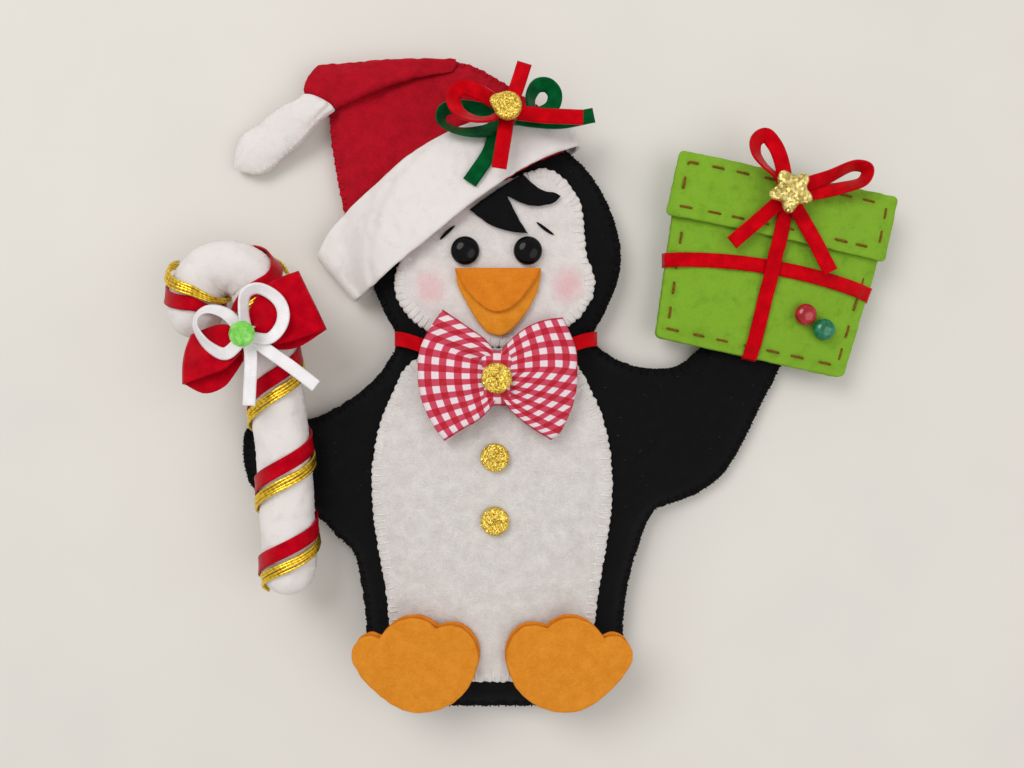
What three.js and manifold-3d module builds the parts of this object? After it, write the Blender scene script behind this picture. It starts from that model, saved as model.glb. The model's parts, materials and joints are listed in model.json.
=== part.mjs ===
// A hand-sewn felt penguin ornament, lying on its back, in millimetres.
// +X is to the viewer's right, +Y is towards the hat and +Z comes out of the front.
// The origin is the middle of the torso's back, on the flat of the back felt.
import * as THREE from 'three';
import * as BufferGeometryUtils from 'three/addons/utils/BufferGeometryUtils.js';
import Module from 'manifold-3d';

const wasm = await Module();
wasm.setup();

// Sheet goods and the gaps between them
const felt = 1.4;
const satinThickness = 0.5;
const satinWidth = 4.1;
const seamGap = 0.3;
const layerGap = 0.4;
const trimGap = 0.35;
const hatGap = 0.92;
const threadThickness = 0.5;

// How finely the felt is faceted
const latticeStep = 10;
const fineStep = 4;
const outlineStep = 8;
const fineOutlineStep = 3.2;
const ringInset = 3.2;
const fineRingInset = 1.6;
const membraneCell = 1.6;
const membranePasses = 260;
const relaxationShare = 1.9;

// How far the filling blows the felt up
const rimWidth = 3.6;
const puffSoftness = 7;
const frontPuffShare = 0.34;
const backPuffShare = 0.27;
const fillGap = 0.7;
const cutterReach = 400;

// Body
const neckY = 52.5;
const headHalfWidth = 36.4;
const headHeight = 63.8;
const torsoHalfWidth = 37.4;
const torsoDepth = 105.3;
const rightWingRoot = 29;
const rightWingReach = 57;
const rightWingRise = 59;
const leftWingRoot = 27.6;
const leftWingReach = 46;
const leftWingRise = 50;
const wingJoinY = 1.5;
const bodySeamHeight = 6;
const wingSeamHeight = 2.3;
const wingFallStart = 34;
const wingFallEnd = 62;
const headLift = 3.75;
const headLiftStartY = 40;
const headLiftEndY = 62;
const wingCutX = 38;

// Face and belly
const bellyBaseY = -43.4;
const bellyHalfWidth = 33.6;
const bellyHeight = 93.6;
const bellyShift = -0.6;
const chinGap = 2.2;
const faceBaseY = bellyBaseY + bellyHeight + chinGap;
const faceHalfWidth = 28;
const faceHeight = 48.8;

// Beak, eyes, brows and hair
const beakTopY = 72.1;
const beakX = 1.1;
const beakHalfWidth = 11.9;
const beakDepth = 18.6;
const upperBeakDepth = 12.1;
const eyeRadius = 4;
const eyeHeight = 3;
const eyeY = 77.2;
const eyeX = 0.7;
const eyeSpacing = 17.4;
const browThickness = 0.9;
const leftBrowX = -13;
const leftBrowY = 82.4;
const leftBrowLength = 5.6;
const leftBrowTurn = 43;
const rightBrowX = 14.3;
const rightBrowY = 83.6;
const rightBrowLength = 5.9;
const rightBrowTurn = -36;
const hairX = 4;
const hairY = 90;
const hairWidth = 30;
const hairHeight = 18;
const hairLineStartShare = 0.53;
const hairLineEndShare = 0.755;

// Feet
const footWidth = 34.4;
const footHeight = 27.8;
const leftFootX = -21.5;
const rightFootX = 20.6;
const footY = -37.4;
const footTiltShare = 0.2;
const footRollShare = 0.1;

// Neck ribbon and bow tie
const neckHalfWidth = 29.8;
const neckRibbonY = 53.6;
const neckRibbonDip = 4.6;
const neckReach = 1.7;
const neckClearReach = 3.2;
const bowX = 0.9;
const bowY = 41.8;
const bowLength = 22;
const bowEndWidth = 35;
const bowKnotWidth = 8;
const bowRise = 5;
const clothThickness = 0.6;
const bowButtonRadius = 4.1;
const buttonRadius = 3.9;
const buttonHeight = 1.6;
const upperButtonY = 20;
const lowerButtonY = 2.5;
const buttonX = 0.3;

// Hat
const hatLeftX = -51;
const hatLowY = 65.5;
const hatWidth = 72;
const hatHeight = 69;
const hatPuffShare = 0.3;
const hatBlend = 3;
const headFallShare = 1.1;
const brimX = -46.3;
const brimY = 70;
const brimTurn = 30.6;
const brimLength = 80;
const brimWidth = 22;
const brimReach = 3.2;
const hatPeek = 0.5;
const creaseGap = 0.35;
const tailX = -50.6;
const tailY = 131.8;
const tailLength = 39.5;
const tailDrop = 12.2;
const tailOverhang = 4.5;
const tailThickness = 3.2;
const tailPuffShare = 0.3;
const tipRootX = -50.9;
const tipRootY = 120.9;
const tipRootTurn = 153;
const tipRestDepth = 0.3;
const tipLength = 31;
const tipTurn = 215;
const tipHalfWidth = 6.4;
const tipRootHalfWidth = 4.9;
const tipHalfHeight = 3.5;
const tipRootHalfHeight = 2.1;
const hatBowX = 3.9;
const hatBowY = 114.7;
const hatBowSpan = 24;
const hatBowDroop = 2;
const curlTilt = 28;
const knotRadius = 3;
const ribbonStep = 5;
const loopLengths = 4;
const gemRadius = 4;
const gemHeight = 2.4;

// Gift
const giftX = 78.4;
const giftY = 72.7;
const giftTurn = -12.4;
const giftWidth = 62.6;
const giftFootWidth = 55;
const giftBodyHeight = 51;
const giftLidWidth = 63.6;
const giftLidHeight = 19;
const giftLidX = -0.5;
const giftLidY = 18.5;
const giftPuffShare = 0.2;
const giftBandY = -2;
const giftBandBow = 2.6;
const giftBowX = -1;
const giftBowY = 20.9;
const giftBowSpan = 22;
const lidStep = 2;
const lidClearReach = 3.2;
const starRadius = 6.2;
const starHeight = 2;
const starTurn = 28;
const beadRadius = 3.1;
const beadHeight = 3.4;
const redBeadX = 11.9;
const redBeadY = -10.6;
const greenBeadX = 18;
const greenBeadY = -13.6;

// Cane
const caneX = -57.2;
const caneY = -18.6;
const caneRise = 82.4;
const caneLean = 8.3;
const caneHookDrop = 10.6;
const caneHookRadius = 9;
const caneHalfWidth = 7.6;
const caneHalfHeight = 6.2;
const caneShell = 1.4;
const caneTipLength = 8;
const caneWindGap = 0.45;
const goldCordWidth = 3.1;
const goldCordThickness = 1.1;
const goldCordOffset = 4.8;
const goldHookOffset = 3.7;
const windGap = 0.3;
const windLeastGap = 0.4;
const hookLiftStart = 70;
const hookLiftEnd = 80;
const hookPinchShare = 0.62;
const caneBowX = -67.3;
const caneBowY = 53.4;
const caneBowRise = 2.2;
const caneBowLength = 20;
const caneBowEndWidth = 18;
const caneBowKnotWidth = 7;
const whiteBowSpan = 13.4;
const whiteBowShift = 1.2;
const whiteTailLength = 20;
const narrowRibbonWidth = 3.4;
const caneGemRadius = 3.5;
const caneGemHeight = 1.8;

const degree = Math.PI / 180;

// Materials
function finish(color, roughness, metalness = 0) {
  return new THREE.MeshStandardMaterial({ color, roughness, metalness });
}
const blackFelt = () => finish(0x121214, 0.95);
const whiteFelt = () => finish(0xddd8d4, 0.95);
const redFelt = () => finish(0xb81428, 0.92);
const orangeFelt = () => finish(0xe08e28, 0.92);
const limeFelt = () => finish(0x7fb832, 0.92);
const filling = () => finish(0xf2f0ea, 1);
const redSatin = () => finish(0xc81423, 0.4);
const greenSatin = () => finish(0x0c6632, 0.4);
const whiteSatin = () => finish(0xf0ecec, 0.5);
const gingham = () => finish(0xc84a5a, 0.85);
const goldGlitter = () => finish(0xc8a032, 0.35, 0.8);
const goldCord = () => finish(0xc8a032, 0.35, 0.9);
const blackBead = () => finish(0x050505, 0.08);
const redBead = () => finish(0xc01420, 0.15);
const greenBead = () => finish(0x148c46, 0.15);
const greenGem = () => finish(0x6edc50, 0.1);

// Small number helpers
const mix = (a, b, share) => a + (b - a) * share;
const clamp01 = (value) => Math.min(1, Math.max(0, value));
function ease(start, end, value) {
  const share = clamp01((value - start) / (end - start));
  return share * share * (3 - 2 * share);
}
function softMax(a, b, width) {
  const share = clamp01(0.5 + (a - b) / (2 * width));
  return mix(b, a, share) + width * share * (1 - share);
}

// A table of shares laid out from an origin over two spans, and turned about the origin
function place(shares, originX, originY, spanX, spanY, turn = 0) {
  const cos = Math.cos(turn * degree);
  const sin = Math.sin(turn * degree);
  return shares.map(([shareX, shareY]) => {
    const x = shareX * spanX;
    const y = shareY * spanY;
    return [originX + x * cos - y * sin, originY + x * sin + y * cos];
  });
}
const mirrored = (shares) => shares.map(([x, y]) => [-x, y]).reverse();

// A smooth curve through a few points, sampled at an even step
function trace(points, step, closed = false) {
  const curve = new THREE.CatmullRomCurve3(
    points.map(([x, y, z = 0]) => new THREE.Vector3(x, y, z)),
    closed,
    'centripetal',
  );
  curve.arcLengthDivisions = points.length * 24;
  const count = Math.max(1, Math.round(curve.getLength() / step));
  return curve.getSpacedPoints(count);
}

// A closed outline made of smooth stretches that meet at corners, counter-clockwise
function outlineOf(stretches, step) {
  const closed = stretches.length === 1;
  const outline = stretches.flatMap((stretch) => trace(stretch, step, closed).slice(0, -1));
  const flat = outline.map(({ x, y }) => new THREE.Vector2(x, y));
  return THREE.ShapeUtils.isClockWise(flat) ? flat.reverse() : flat;
}

function insideOutline(outline, x, y) {
  let inside = false;
  for (let i = 0, j = outline.length - 1; i < outline.length; j = i, i += 1) {
    const a = outline[i];
    const b = outline[j];
    if (a.y > y !== b.y > y && x < ((b.x - a.x) * (y - a.y)) / (b.y - a.y) + a.x) {
      inside = !inside;
    }
  }
  return inside;
}

function distanceToOutline(outline, x, y) {
  let least = Infinity;
  for (let i = 0, j = outline.length - 1; i < outline.length; j = i, i += 1) {
    const a = outline[j];
    const b = outline[i];
    const dx = b.x - a.x;
    const dy = b.y - a.y;
    const share = clamp01(((x - a.x) * dx + (y - a.y) * dy) / (dx * dx + dy * dy));
    least = Math.min(least, Math.hypot(a.x + dx * share - x, a.y + dy * share - y));
  }
  return least;
}

// Each point of an outline moved inwards, or outwards where the distance is negative
function inset(outline, distance) {
  return outline.map((point, i) => {
    const before = outline[(i + outline.length - 1) % outline.length];
    const after = outline[(i + 1) % outline.length];
    const along = after.clone().sub(before).normalize();
    return new THREE.Vector2(point.x - along.y * distance, point.y + along.x * distance);
  });
}

// The height of an evenly blown-up skin that is held along its outline
function membrane(outline) {
  const box = new THREE.Box2().setFromPoints(outline).expandByScalar(2 * membraneCell);
  const columns = Math.ceil((box.max.x - box.min.x) / membraneCell) + 1;
  const rows = Math.ceil((box.max.y - box.min.y) / membraneCell) + 1;
  const height = new Float64Array(columns * rows);
  const free = [];
  for (let row = 1; row < rows - 1; row += 1) {
    for (let column = 1; column < columns - 1; column += 1) {
      const x = box.min.x + column * membraneCell;
      const y = box.min.y + row * membraneCell;
      if (insideOutline(outline, x, y)) free.push(row * columns + column);
    }
  }
  const load = membraneCell * membraneCell;
  for (let pass = 0; pass < membranePasses; pass += 1) {
    for (const i of free) {
      const around = height[i - 1] + height[i + 1] + height[i - columns] + height[i + columns];
      height[i] += relaxationShare * ((around + load) / 4 - height[i]);
    }
  }
  return (x, y) => {
    const across = (x - box.min.x) / membraneCell;
    const up = (y - box.min.y) / membraneCell;
    const column = Math.floor(across);
    const row = Math.floor(up);
    if (column < 0 || row < 0 || column > columns - 2 || row > rows - 2) return 0;
    const i = row * columns + column;
    const low = mix(height[i], height[i + 1], across - column);
    const high = mix(height[i + columns], height[i + columns + 1], across - column);
    return mix(low, high, up - row);
  };
}

// The rise of a stuffed shape above its seam
function puffOf(outline, puffShare) {
  const blown = membrane(outline);
  return (x, y) => {
    if (!insideOutline(outline, x, y)) return 0;
    const rise = Math.sqrt(2 * blown(x, y) + puffSoftness * puffSoftness) - puffSoftness;
    return puffShare * rise * ease(0, rimWidth, distanceToOutline(outline, x, y));
  };
}

// Triangles through scattered points, each holding no other point in its circle
function delaunay(points) {
  const box = new THREE.Box2().setFromPoints(points);
  const centre = box.getCenter(new THREE.Vector2());
  const reach = box.getSize(new THREE.Vector2()).length() * 20;
  const first = points.length;
  const all = [
    ...points,
    new THREE.Vector2(centre.x - reach, centre.y - reach),
    new THREE.Vector2(centre.x + reach, centre.y - reach),
    new THREE.Vector2(centre.x, centre.y + reach),
  ];
  const circled = (a, b, c) => {
    const bx = all[b].x - all[a].x;
    const by = all[b].y - all[a].y;
    const cx = all[c].x - all[a].x;
    const cy = all[c].y - all[a].y;
    const twice = 2 * (bx * cy - by * cx);
    const b2 = bx * bx + by * by;
    const c2 = cx * cx + cy * cy;
    const ux = (cy * b2 - by * c2) / twice;
    const uy = (bx * c2 - cx * b2) / twice;
    return { corners: [a, b, c], x: all[a].x + ux, y: all[a].y + uy, square: ux * ux + uy * uy };
  };
  let triangles = [circled(first, first + 1, first + 2)];
  points.forEach((point, index) => {
    const rim = new Map();
    triangles = triangles.filter((triangle) => {
      const away = (point.x - triangle.x) ** 2 + (point.y - triangle.y) ** 2;
      if (away >= triangle.square) return true;
      triangle.corners.forEach((a, i) => {
        const b = triangle.corners[(i + 1) % 3];
        if (rim.has(`${b},${a}`)) rim.delete(`${b},${a}`);
        else rim.set(`${a},${b}`, [a, b]);
      });
      return false;
    });
    for (const [a, b] of rim.values()) triangles.push(circled(a, b, index));
  });
  return triangles.map(({ corners }) => corners).filter((corners) => Math.max(...corners) < first);
}

// A flat shape filled with triangles: its outline, rings inside it and a lattice that all felt shares
function patchOf(outline, step = latticeStep, rings = [ringInset]) {
  const points = [...outline];
  const inner = rings.at(-1);
  for (const ring of rings) {
    const start = points.length;
    for (const point of inset(outline, ring)) {
      const clear = distanceToOutline(outline, point.x, point.y) > ring * 0.9;
      const apart = points.slice(start).every((other) => other.distanceTo(point) > step * 0.3);
      if (clear && apart && insideOutline(outline, point.x, point.y)) points.push(point);
    }
  }
  const box = new THREE.Box2().setFromPoints(outline);
  const rowStep = (step * Math.sqrt(3)) / 2;
  for (let row = Math.floor(box.min.y / rowStep); row * rowStep < box.max.y; row += 1) {
    const shift = row % 2 === 0 ? 0 : step / 2;
    for (let column = Math.floor(box.min.x / step); column * step < box.max.x + step; column += 1) {
      const x = column * step - shift;
      const y = row * rowStep;
      const clear = distanceToOutline(outline, x, y) > inner + step * 0.4;
      if (clear && insideOutline(outline, x, y)) points.push(new THREE.Vector2(x, y));
    }
  }
  const triangles = delaunay(points).filter(([a, b, c]) => {
    const x = (points[a].x + points[b].x + points[c].x) / 3;
    const y = (points[a].y + points[b].y + points[c].y) / 3;
    return insideOutline(outline, x, y);
  });
  return { points, triangles };
}

// A geometry from corner triples and faces, turned so that its faces point out
function closedGeometry(positions, faces) {
  let volume = 0;
  for (const [a, b, c] of faces) {
    const [p, q, r] = [positions[a], positions[b], positions[c]];
    volume += p[0] * (q[1] * r[2] - q[2] * r[1]);
    volume += p[1] * (q[2] * r[0] - q[0] * r[2]);
    volume += p[2] * (q[0] * r[1] - q[1] * r[0]);
  }
  const outward = volume < 0 ? faces.map(([a, b, c]) => [a, c, b]) : faces;
  const geometry = new THREE.BufferGeometry();
  geometry.setAttribute('position', new THREE.Float32BufferAttribute(positions.flat(), 3));
  geometry.setIndex(outward.flat());
  return geometry;
}

// A patch given a lower and an upper surface and a wall round its edge
function thickPatch({ points, triangles }, lower, upper) {
  const count = points.length;
  const positions = [
    ...points.map(({ x, y }) => [x, y, lower(x, y)]),
    ...points.map(({ x, y }) => [x, y, upper(x, y)]),
  ];
  const faces = [];
  const edges = new Map();
  for (const [a, b, c] of triangles) {
    faces.push([a, c, b], [a + count, b + count, c + count]);
    for (const [from, to] of [[a, b], [b, c], [c, a]]) {
      if (edges.has(`${to},${from}`)) edges.delete(`${to},${from}`);
      else edges.set(`${from},${to}`, [from, to]);
    }
  }
  for (const [a, b] of edges.values()) {
    faces.push([a, b, b + count], [a, b + count, a + count]);
  }
  return closedGeometry(positions, faces);
}

// A closed body between two grids of points; a wrapped one closes on itself from last row to first
function shell(outer, inner, wrap = false) {
  const rows = outer.length;
  const columns = outer[0].length;
  const positions = [...outer.flat(), ...inner.flat()].map(({ x, y, z }) => [x, y, z]);
  const at = (side, row, column) => side * rows * columns + (row % rows) * columns + column;
  const faces = [];
  const quad = (a, b, c, d) => faces.push([a, b, c], [a, c, d]);
  for (let i = 0; i < (wrap ? rows : rows - 1); i += 1) {
    for (let j = 0; j < columns - 1; j += 1) {
      quad(at(0, i, j), at(0, i + 1, j), at(0, i + 1, j + 1), at(0, i, j + 1));
      quad(at(1, i, j), at(1, i, j + 1), at(1, i + 1, j + 1), at(1, i + 1, j));
    }
    quad(at(0, i, 0), at(1, i, 0), at(1, i + 1, 0), at(0, i + 1, 0));
    const last = columns - 1;
    quad(at(0, i, last), at(0, i + 1, last), at(1, i + 1, last), at(1, i, last));
  }
  if (!wrap) {
    const end = rows - 1;
    for (let j = 0; j < columns - 1; j += 1) {
      quad(at(0, 0, j), at(0, 0, j + 1), at(1, 0, j + 1), at(1, 0, j));
      quad(at(0, end, j), at(1, end, j), at(1, end, j + 1), at(0, end, j + 1));
    }
  }
  return closedGeometry(positions, faces);
}

// A body through closed rings of points, with flat or pointed ends
function loft(rings) {
  const sides = rings[0].length;
  const positions = rings.flat().map(({ x, y, z }) => [x, y, z]);
  const faces = [];
  for (let i = 0; i < rings.length - 1; i += 1) {
    for (let j = 0; j < sides; j += 1) {
      const next = (j + 1) % sides;
      faces.push([i * sides + j, i * sides + next, (i + 1) * sides + next]);
      faces.push([i * sides + j, (i + 1) * sides + next, (i + 1) * sides + j]);
    }
  }
  const endsAt = [0, rings.length - 1];
  endsAt.forEach((ring, side) => {
    const middle = rings[ring]
      .reduce((sum, point) => sum.add(point), new THREE.Vector3())
      .divideScalar(sides);
    positions.push([middle.x, middle.y, middle.z]);
    const centre = positions.length - 1;
    for (let j = 0; j < sides; j += 1) {
      const a = ring * sides + j;
      const b = ring * sides + ((j + 1) % sides);
      faces.push(side === 0 ? [centre, b, a] : [centre, a, b]);
    }
  });
  return closedGeometry(positions, faces);
}

// Flat ribbon along a path, its width tipped up from the path's plane by a tilt. It comes in a number
// of lengths that meet end to end, so that a loop whose ends cross can be fused cleanly.
function ribbon(points, width, thickness, { tilt = 0, step = fineStep, lengths = 1 }) {
  const path = trace(points, step);
  const up = new THREE.Vector3(0, 0, 1);
  const outer = [];
  const inner = [];
  path.forEach((point, i) => {
    const before = path[Math.max(0, i - 1)];
    const after = path[Math.min(path.length - 1, i + 1)];
    const along = after.clone().sub(before).normalize();
    const side = new THREE.Vector3().crossVectors(up, along).normalize();
    const top = new THREE.Vector3().crossVectors(along, side);
    const across = side.clone().multiplyScalar(Math.cos(tilt * degree));
    across.addScaledVector(top, Math.sin(tilt * degree)).multiplyScalar(width / 2);
    const normal = new THREE.Vector3().crossVectors(along, across).normalize();
    normal.multiplyScalar(thickness / 2);
    const corner = (a, b) => point.clone().addScaledVector(across, a).addScaledVector(normal, b);
    outer.push([corner(-1, 1), corner(1, 1)]);
    inner.push([corner(-1, -1), corner(1, -1)]);
  });
  const last = path.length - 1;
  return [...Array(lengths).keys()].map((i) => {
    const start = Math.round((i * last) / lengths);
    const end = Math.round(((i + 1) * last) / lengths);
    return shell(outer.slice(start, end + 1), inner.slice(start, end + 1));
  });
}

// A wide ribbon folded back on itself: out along the base surface and back above it
function bowLoop({ x, y, turn, length, endWidth, knotWidth, rise, thickness, base, columns = 3 }) {
  const along = new THREE.Vector2(Math.cos(turn * degree), Math.sin(turn * degree));
  const steps = 12;
  const middle = [];
  for (let i = 0; i <= steps; i += 1) {
    const share = i / steps;
    const out = length * Math.sin(Math.PI * share) ** 1.2;
    const lift = rise * (ease(0.4, 0.6, share) - 0.5 * ease(0.72, 1, share));
    const width = mix(knotWidth, endWidth, Math.sin(Math.PI * share) ** 0.9);
    const row = [];
    for (let j = 0; j < columns; j += 1) {
      const across = (j / (columns - 1) - 0.5) * width;
      const reach = out * (1 - 0.22 * ((2 * across) / width) ** 2);
      const px = x + along.x * reach - along.y * across;
      const py = y + along.y * reach + along.x * across;
      row.push(new THREE.Vector3(px, py, base(px, py) + lift + thickness));
    }
    middle.push(row);
  }
  return thickened(middle, thickness);
}

// A grid of points thickened along its own normals
function thickened(grid, thickness) {
  const rows = grid.length;
  const columns = grid[0].length;
  const offset = (side) => grid.map((row, i) => row.map((point, j) => {
    const down = grid[Math.max(0, i - 1)][j];
    const up = grid[Math.min(rows - 1, i + 1)][j];
    const left = row[Math.max(0, j - 1)];
    const right = row[Math.min(columns - 1, j + 1)];
    const normal = up.clone().sub(down).cross(right.clone().sub(left)).normalize();
    return point.clone().addScaledVector(normal, (side * thickness) / 2);
  }));
  return shell(offset(1), offset(-1));
}

// Joining and cutting
function solidOf(geometry) {
  const bare = geometry.clone();
  bare.deleteAttribute('normal');
  bare.deleteAttribute('uv');
  const merged = BufferGeometryUtils.mergeVertices(bare);
  return new wasm.Manifold(new wasm.Mesh({
    numProp: 3,
    vertProperties: new Float32Array(merged.attributes.position.array),
    triVerts: new Uint32Array(merged.index.array),
  }));
}
function geometryOf(solid) {
  const { vertProperties, triVerts } = solid.getMesh();
  const geometry = new THREE.BufferGeometry();
  geometry.setAttribute('position', new THREE.Float32BufferAttribute(vertProperties, 3));
  geometry.setIndex([...triVerts]);
  return geometry;
}
const fuse = (geometries) => geometryOf(geometries.map(solidOf).reduce((sum, next) => sum.add(next)));
function blockBetween(minX, maxX, minY, maxY) {
  const block = new THREE.BoxGeometry(maxX - minX, maxY - minY, cutterReach);
  block.translate((minX + maxX) / 2, (minY + maxY) / 2, 0);
  return block;
}
const within = (geometry, block) => geometryOf(solidOf(geometry).intersect(solidOf(block)));

// Small trims
function turned(profile, segments = 14) {
  const lathe = new THREE.LatheGeometry(profile.map(([r, h]) => new THREE.Vector2(r, h)), segments);
  return lathe.rotateX(Math.PI / 2);
}
function domed(radius, height, rimShare, segments = 14) {
  const profile = [[0, 0], [radius, 0], [radius, height * rimShare]];
  for (const angle of [30, 60]) {
    const rise = height * mix(rimShare, 1, Math.sin(angle * degree));
    profile.push([radius * Math.cos(angle * degree), rise]);
  }
  profile.push([0, height]);
  return turned(profile, segments);
}
function knot(x, y, z, halfX, halfY, halfZ) {
  return new THREE.SphereGeometry(1, 10, 6).scale(halfX, halfY, halfZ).translate(x, y, z);
}
// The height at which a trim's foot clears all that lies under it
function seatHeight(surface, x, y, radius) {
  let height = surface(x, y);
  for (let angle = 0; angle < 360; angle += 45) {
    const px = x + radius * Math.cos(angle * degree);
    const py = y + radius * Math.sin(angle * degree);
    height = Math.max(height, surface(px, py));
  }
  return height + trimGap;
}
const seatUnder = (surface, x, y, radius) => -seatHeight((px, py) => -surface(px, py), x, y, radius);

const penguin = new THREE.Group();
function addPiece(name, geometry, material, parent = penguin) {
  geometry.computeVertexNormals();
  const mesh = new THREE.Mesh(geometry, material);
  mesh.name = name;
  parent.add(mesh);
  return mesh;
}
function addSeated(name, geometry, material, surface, x, y, radius) {
  const mesh = addPiece(name, geometry, material);
  mesh.position.set(x, y, seatHeight(surface, x, y, radius));
  return mesh;
}

// Body outline, as shares of the head, the wings and the torso
const headShares = [[0.775, 0.01], [0.87, 0.13], [0.96, 0.25], [1, 0.38], [0.97, 0.5], [0.89, 0.63],
  [0.75, 0.76], [0.55, 0.87], [0.29, 0.96]];
const rightWingShares = [[0.12, 0.77], [0.24, 0.735], [0.34, 0.73], [0.43, 0.745], [0.52, 0.81],
  [0.62, 0.9], [0.75, 0.98], [0.89, 1], [0.98, 0.94], [0.99, 0.83], [0.94, 0.71], [0.86, 0.56],
  [0.76, 0.36], [0.66, 0.21], [0.54, 0.12], [0.42, 0.075], [0.3, 0.03]];
const torsoShares = [[1.1, -0.075], [1.03, -0.165], [0.995, -0.25], [0.985, -0.33], [0.95, -0.41],
  [0.83, -0.47], [0.62, -0.497], [0.3, -0.5]];
const leftWingShares = [[0.396, -0.11], [0.448, -0.054], [0.5, -0.015], [0.58, 0.015], [0.7, 0.06],
  [0.84, 0.115], [0.93, 0.16], [0.98, 0.25], [1, 0.38], [0.975, 0.51], [0.88, 0.555], [0.7, 0.56],
  [0.56, 0.57], [0.43, 0.62], [0.3, 0.69], [0.19, 0.77], [0.1, 0.86]];
const bodyPoints = [
  ...place([...headShares, [0, 1]], 0, neckY, headHalfWidth, headHeight).reverse(),
  ...place(rightWingShares, rightWingRoot, wingJoinY, rightWingReach, rightWingRise),
  ...place(torsoShares, 0, 0, torsoHalfWidth, torsoDepth),
  ...place(mirrored(torsoShares), 0, 0, torsoHalfWidth, torsoDepth),
  ...place(leftWingShares, -leftWingRoot, wingJoinY, -leftWingReach, leftWingRise),
  ...place(headShares, 0, neckY, -headHalfWidth, headHeight),
];
const bodyOutline = outlineOf([bodyPoints], outlineStep);
const bodyFrontPuff = puffOf(bodyOutline, frontPuffShare);

// The seam climbs from the wing tips to the body, and the head's back is lifted off the floor by the hat
const nearHead = (x) => 1 - ease(headHalfWidth, headHalfWidth + latticeStep, Math.abs(x));
const headRise = (x, y) => headLift * ease(headLiftStartY, headLiftEndY, y) * nearHead(x);
const seamHeight = (x) => mix(bodySeamHeight, wingSeamHeight, ease(wingFallStart, wingFallEnd, Math.abs(x)));
const backUnder = (x, y) => {
  const hang = (backPuffShare / frontPuffShare) * bodyFrontPuff(x, y);
  return Math.max(headRise(x, y), seamHeight(x) - seamGap / 2 - felt - hang);
};
const backTop = (x, y) => backUnder(x, y) + felt;
const frontUnder = (x, y) => seamHeight(x) + seamGap / 2 + bodyFrontPuff(x, y);
const frontTop = (x, y) => frontUnder(x, y) + felt;

// Body felt and filling
function addBody() {
  const patch = patchOf(bodyOutline, latticeStep, [ringInset, 2 * ringInset]);
  addPiece('back_panel', thickPatch(patch, backUnder, backTop), blackFelt());
  addPiece('front_panel', thickPatch(patch, frontUnder, frontTop), blackFelt());
  const fill = thickPatch(
    patchOf(inset(bodyOutline, 2 * ringInset)),
    (x, y) => backTop(x, y) + fillGap,
    (x, y) => frontUnder(x, y) - fillGap,
  );
  const cut = seamGap / 2;
  const far = cutterReach;
  const regions = {
    torso_stuffing: blockBetween(-wingCutX + cut, wingCutX - cut, -far, neckY - cut),
    head_stuffing: blockBetween(-wingCutX + cut, wingCutX - cut, neckY + cut, far),
    left_wing_stuffing: blockBetween(-far, -wingCutX - cut, -far, far),
    right_wing_stuffing: blockBetween(wingCutX + cut, far, -far, far),
  };
  for (const [name, block] of Object.entries(regions)) {
    addPiece(name, within(fill, block), filling());
  }
}

// Face and belly felt
const faceShares = [[0.3, 0], [0.62, 0.04], [0.85, 0.13], [0.98, 0.24], [1.02, 0.34], [0.98, 0.43],
  [0.935, 0.49], [0.915, 0.6], [0.9, 0.72], [0.86, 0.82], [0.77, 0.9], [0.65, 0.97], [0.5, 1],
  [0.34, 0.98], [0.16, 0.935]];
const bellyShares = [[0.4, 0.002], [0.66, 0.027], [0.81, 0.085], [0.86, 0.166], [0.89, 0.26],
  [0.935, 0.36], [0.975, 0.456], [1, 0.546], [1, 0.634], [0.97, 0.72], [0.91, 0.806], [0.82, 0.88],
  [0.73, 0.94], [0.56, 0.985], [0.25, 1]];
const facePoints = [
  ...place(faceShares, 0, faceBaseY, faceHalfWidth, faceHeight),
  ...place(mirrored(faceShares), 0, faceBaseY, faceHalfWidth, faceHeight),
];
const bellyPoints = [
  ...place(bellyShares, bellyShift, bellyBaseY, bellyHalfWidth, bellyHeight),
  ...place(mirrored(bellyShares), bellyShift, bellyBaseY, bellyHalfWidth, bellyHeight),
];
const appliedUnder = (x, y) => frontTop(x, y) + layerGap;
const appliedTop = (x, y) => appliedUnder(x, y) + felt;
const secondUnder = (x, y) => appliedTop(x, y) + layerGap;
const secondTop = (x, y) => secondUnder(x, y) + felt;
const thirdUnder = (x, y) => secondTop(x, y) + layerGap;

const faceOutline = outlineOf([facePoints], outlineStep);
const bellyOutline = outlineOf([bellyPoints], outlineStep);
function addFaceAndBelly() {
  addPiece('face_panel', thickPatch(patchOf(faceOutline), appliedUnder, appliedTop), whiteFelt());
  addPiece('belly_panel', thickPatch(patchOf(bellyOutline), appliedUnder, appliedTop), whiteFelt());
}

// Brim band: its lower and upper edges over the head, in the band's own frame
const brimLowShares = [[0.02, -0.36], [0.14, -0.34], [0.27, -0.28], [0.4, -0.22], [0.565, -0.13],
  [0.72, -0.085], [0.86, -0.08], [1.01, -0.13]];
const brimHighShares = [[-0.02, 0.36], [0.07, 0.57], [0.14, 0.66], [0.32, 0.77], [0.5, 0.85],
  [0.68, 0.81], [0.79, 0.7], [0.89, 0.54], [0.99, 0.32], [1.035, 0.18]];
const inBrim = (shares) => place(shares, brimX, brimY, brimLength, brimWidth, brimTurn);
const brimEdge = (shares) => new THREE.CatmullRomCurve3(
  inBrim(shares).map(([x, y]) => new THREE.Vector3(x, y, 0)),
  false,
  'centripetal',
);
const brimLow = brimEdge(brimLowShares);
const brimHigh = brimEdge(brimHighShares);

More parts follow.
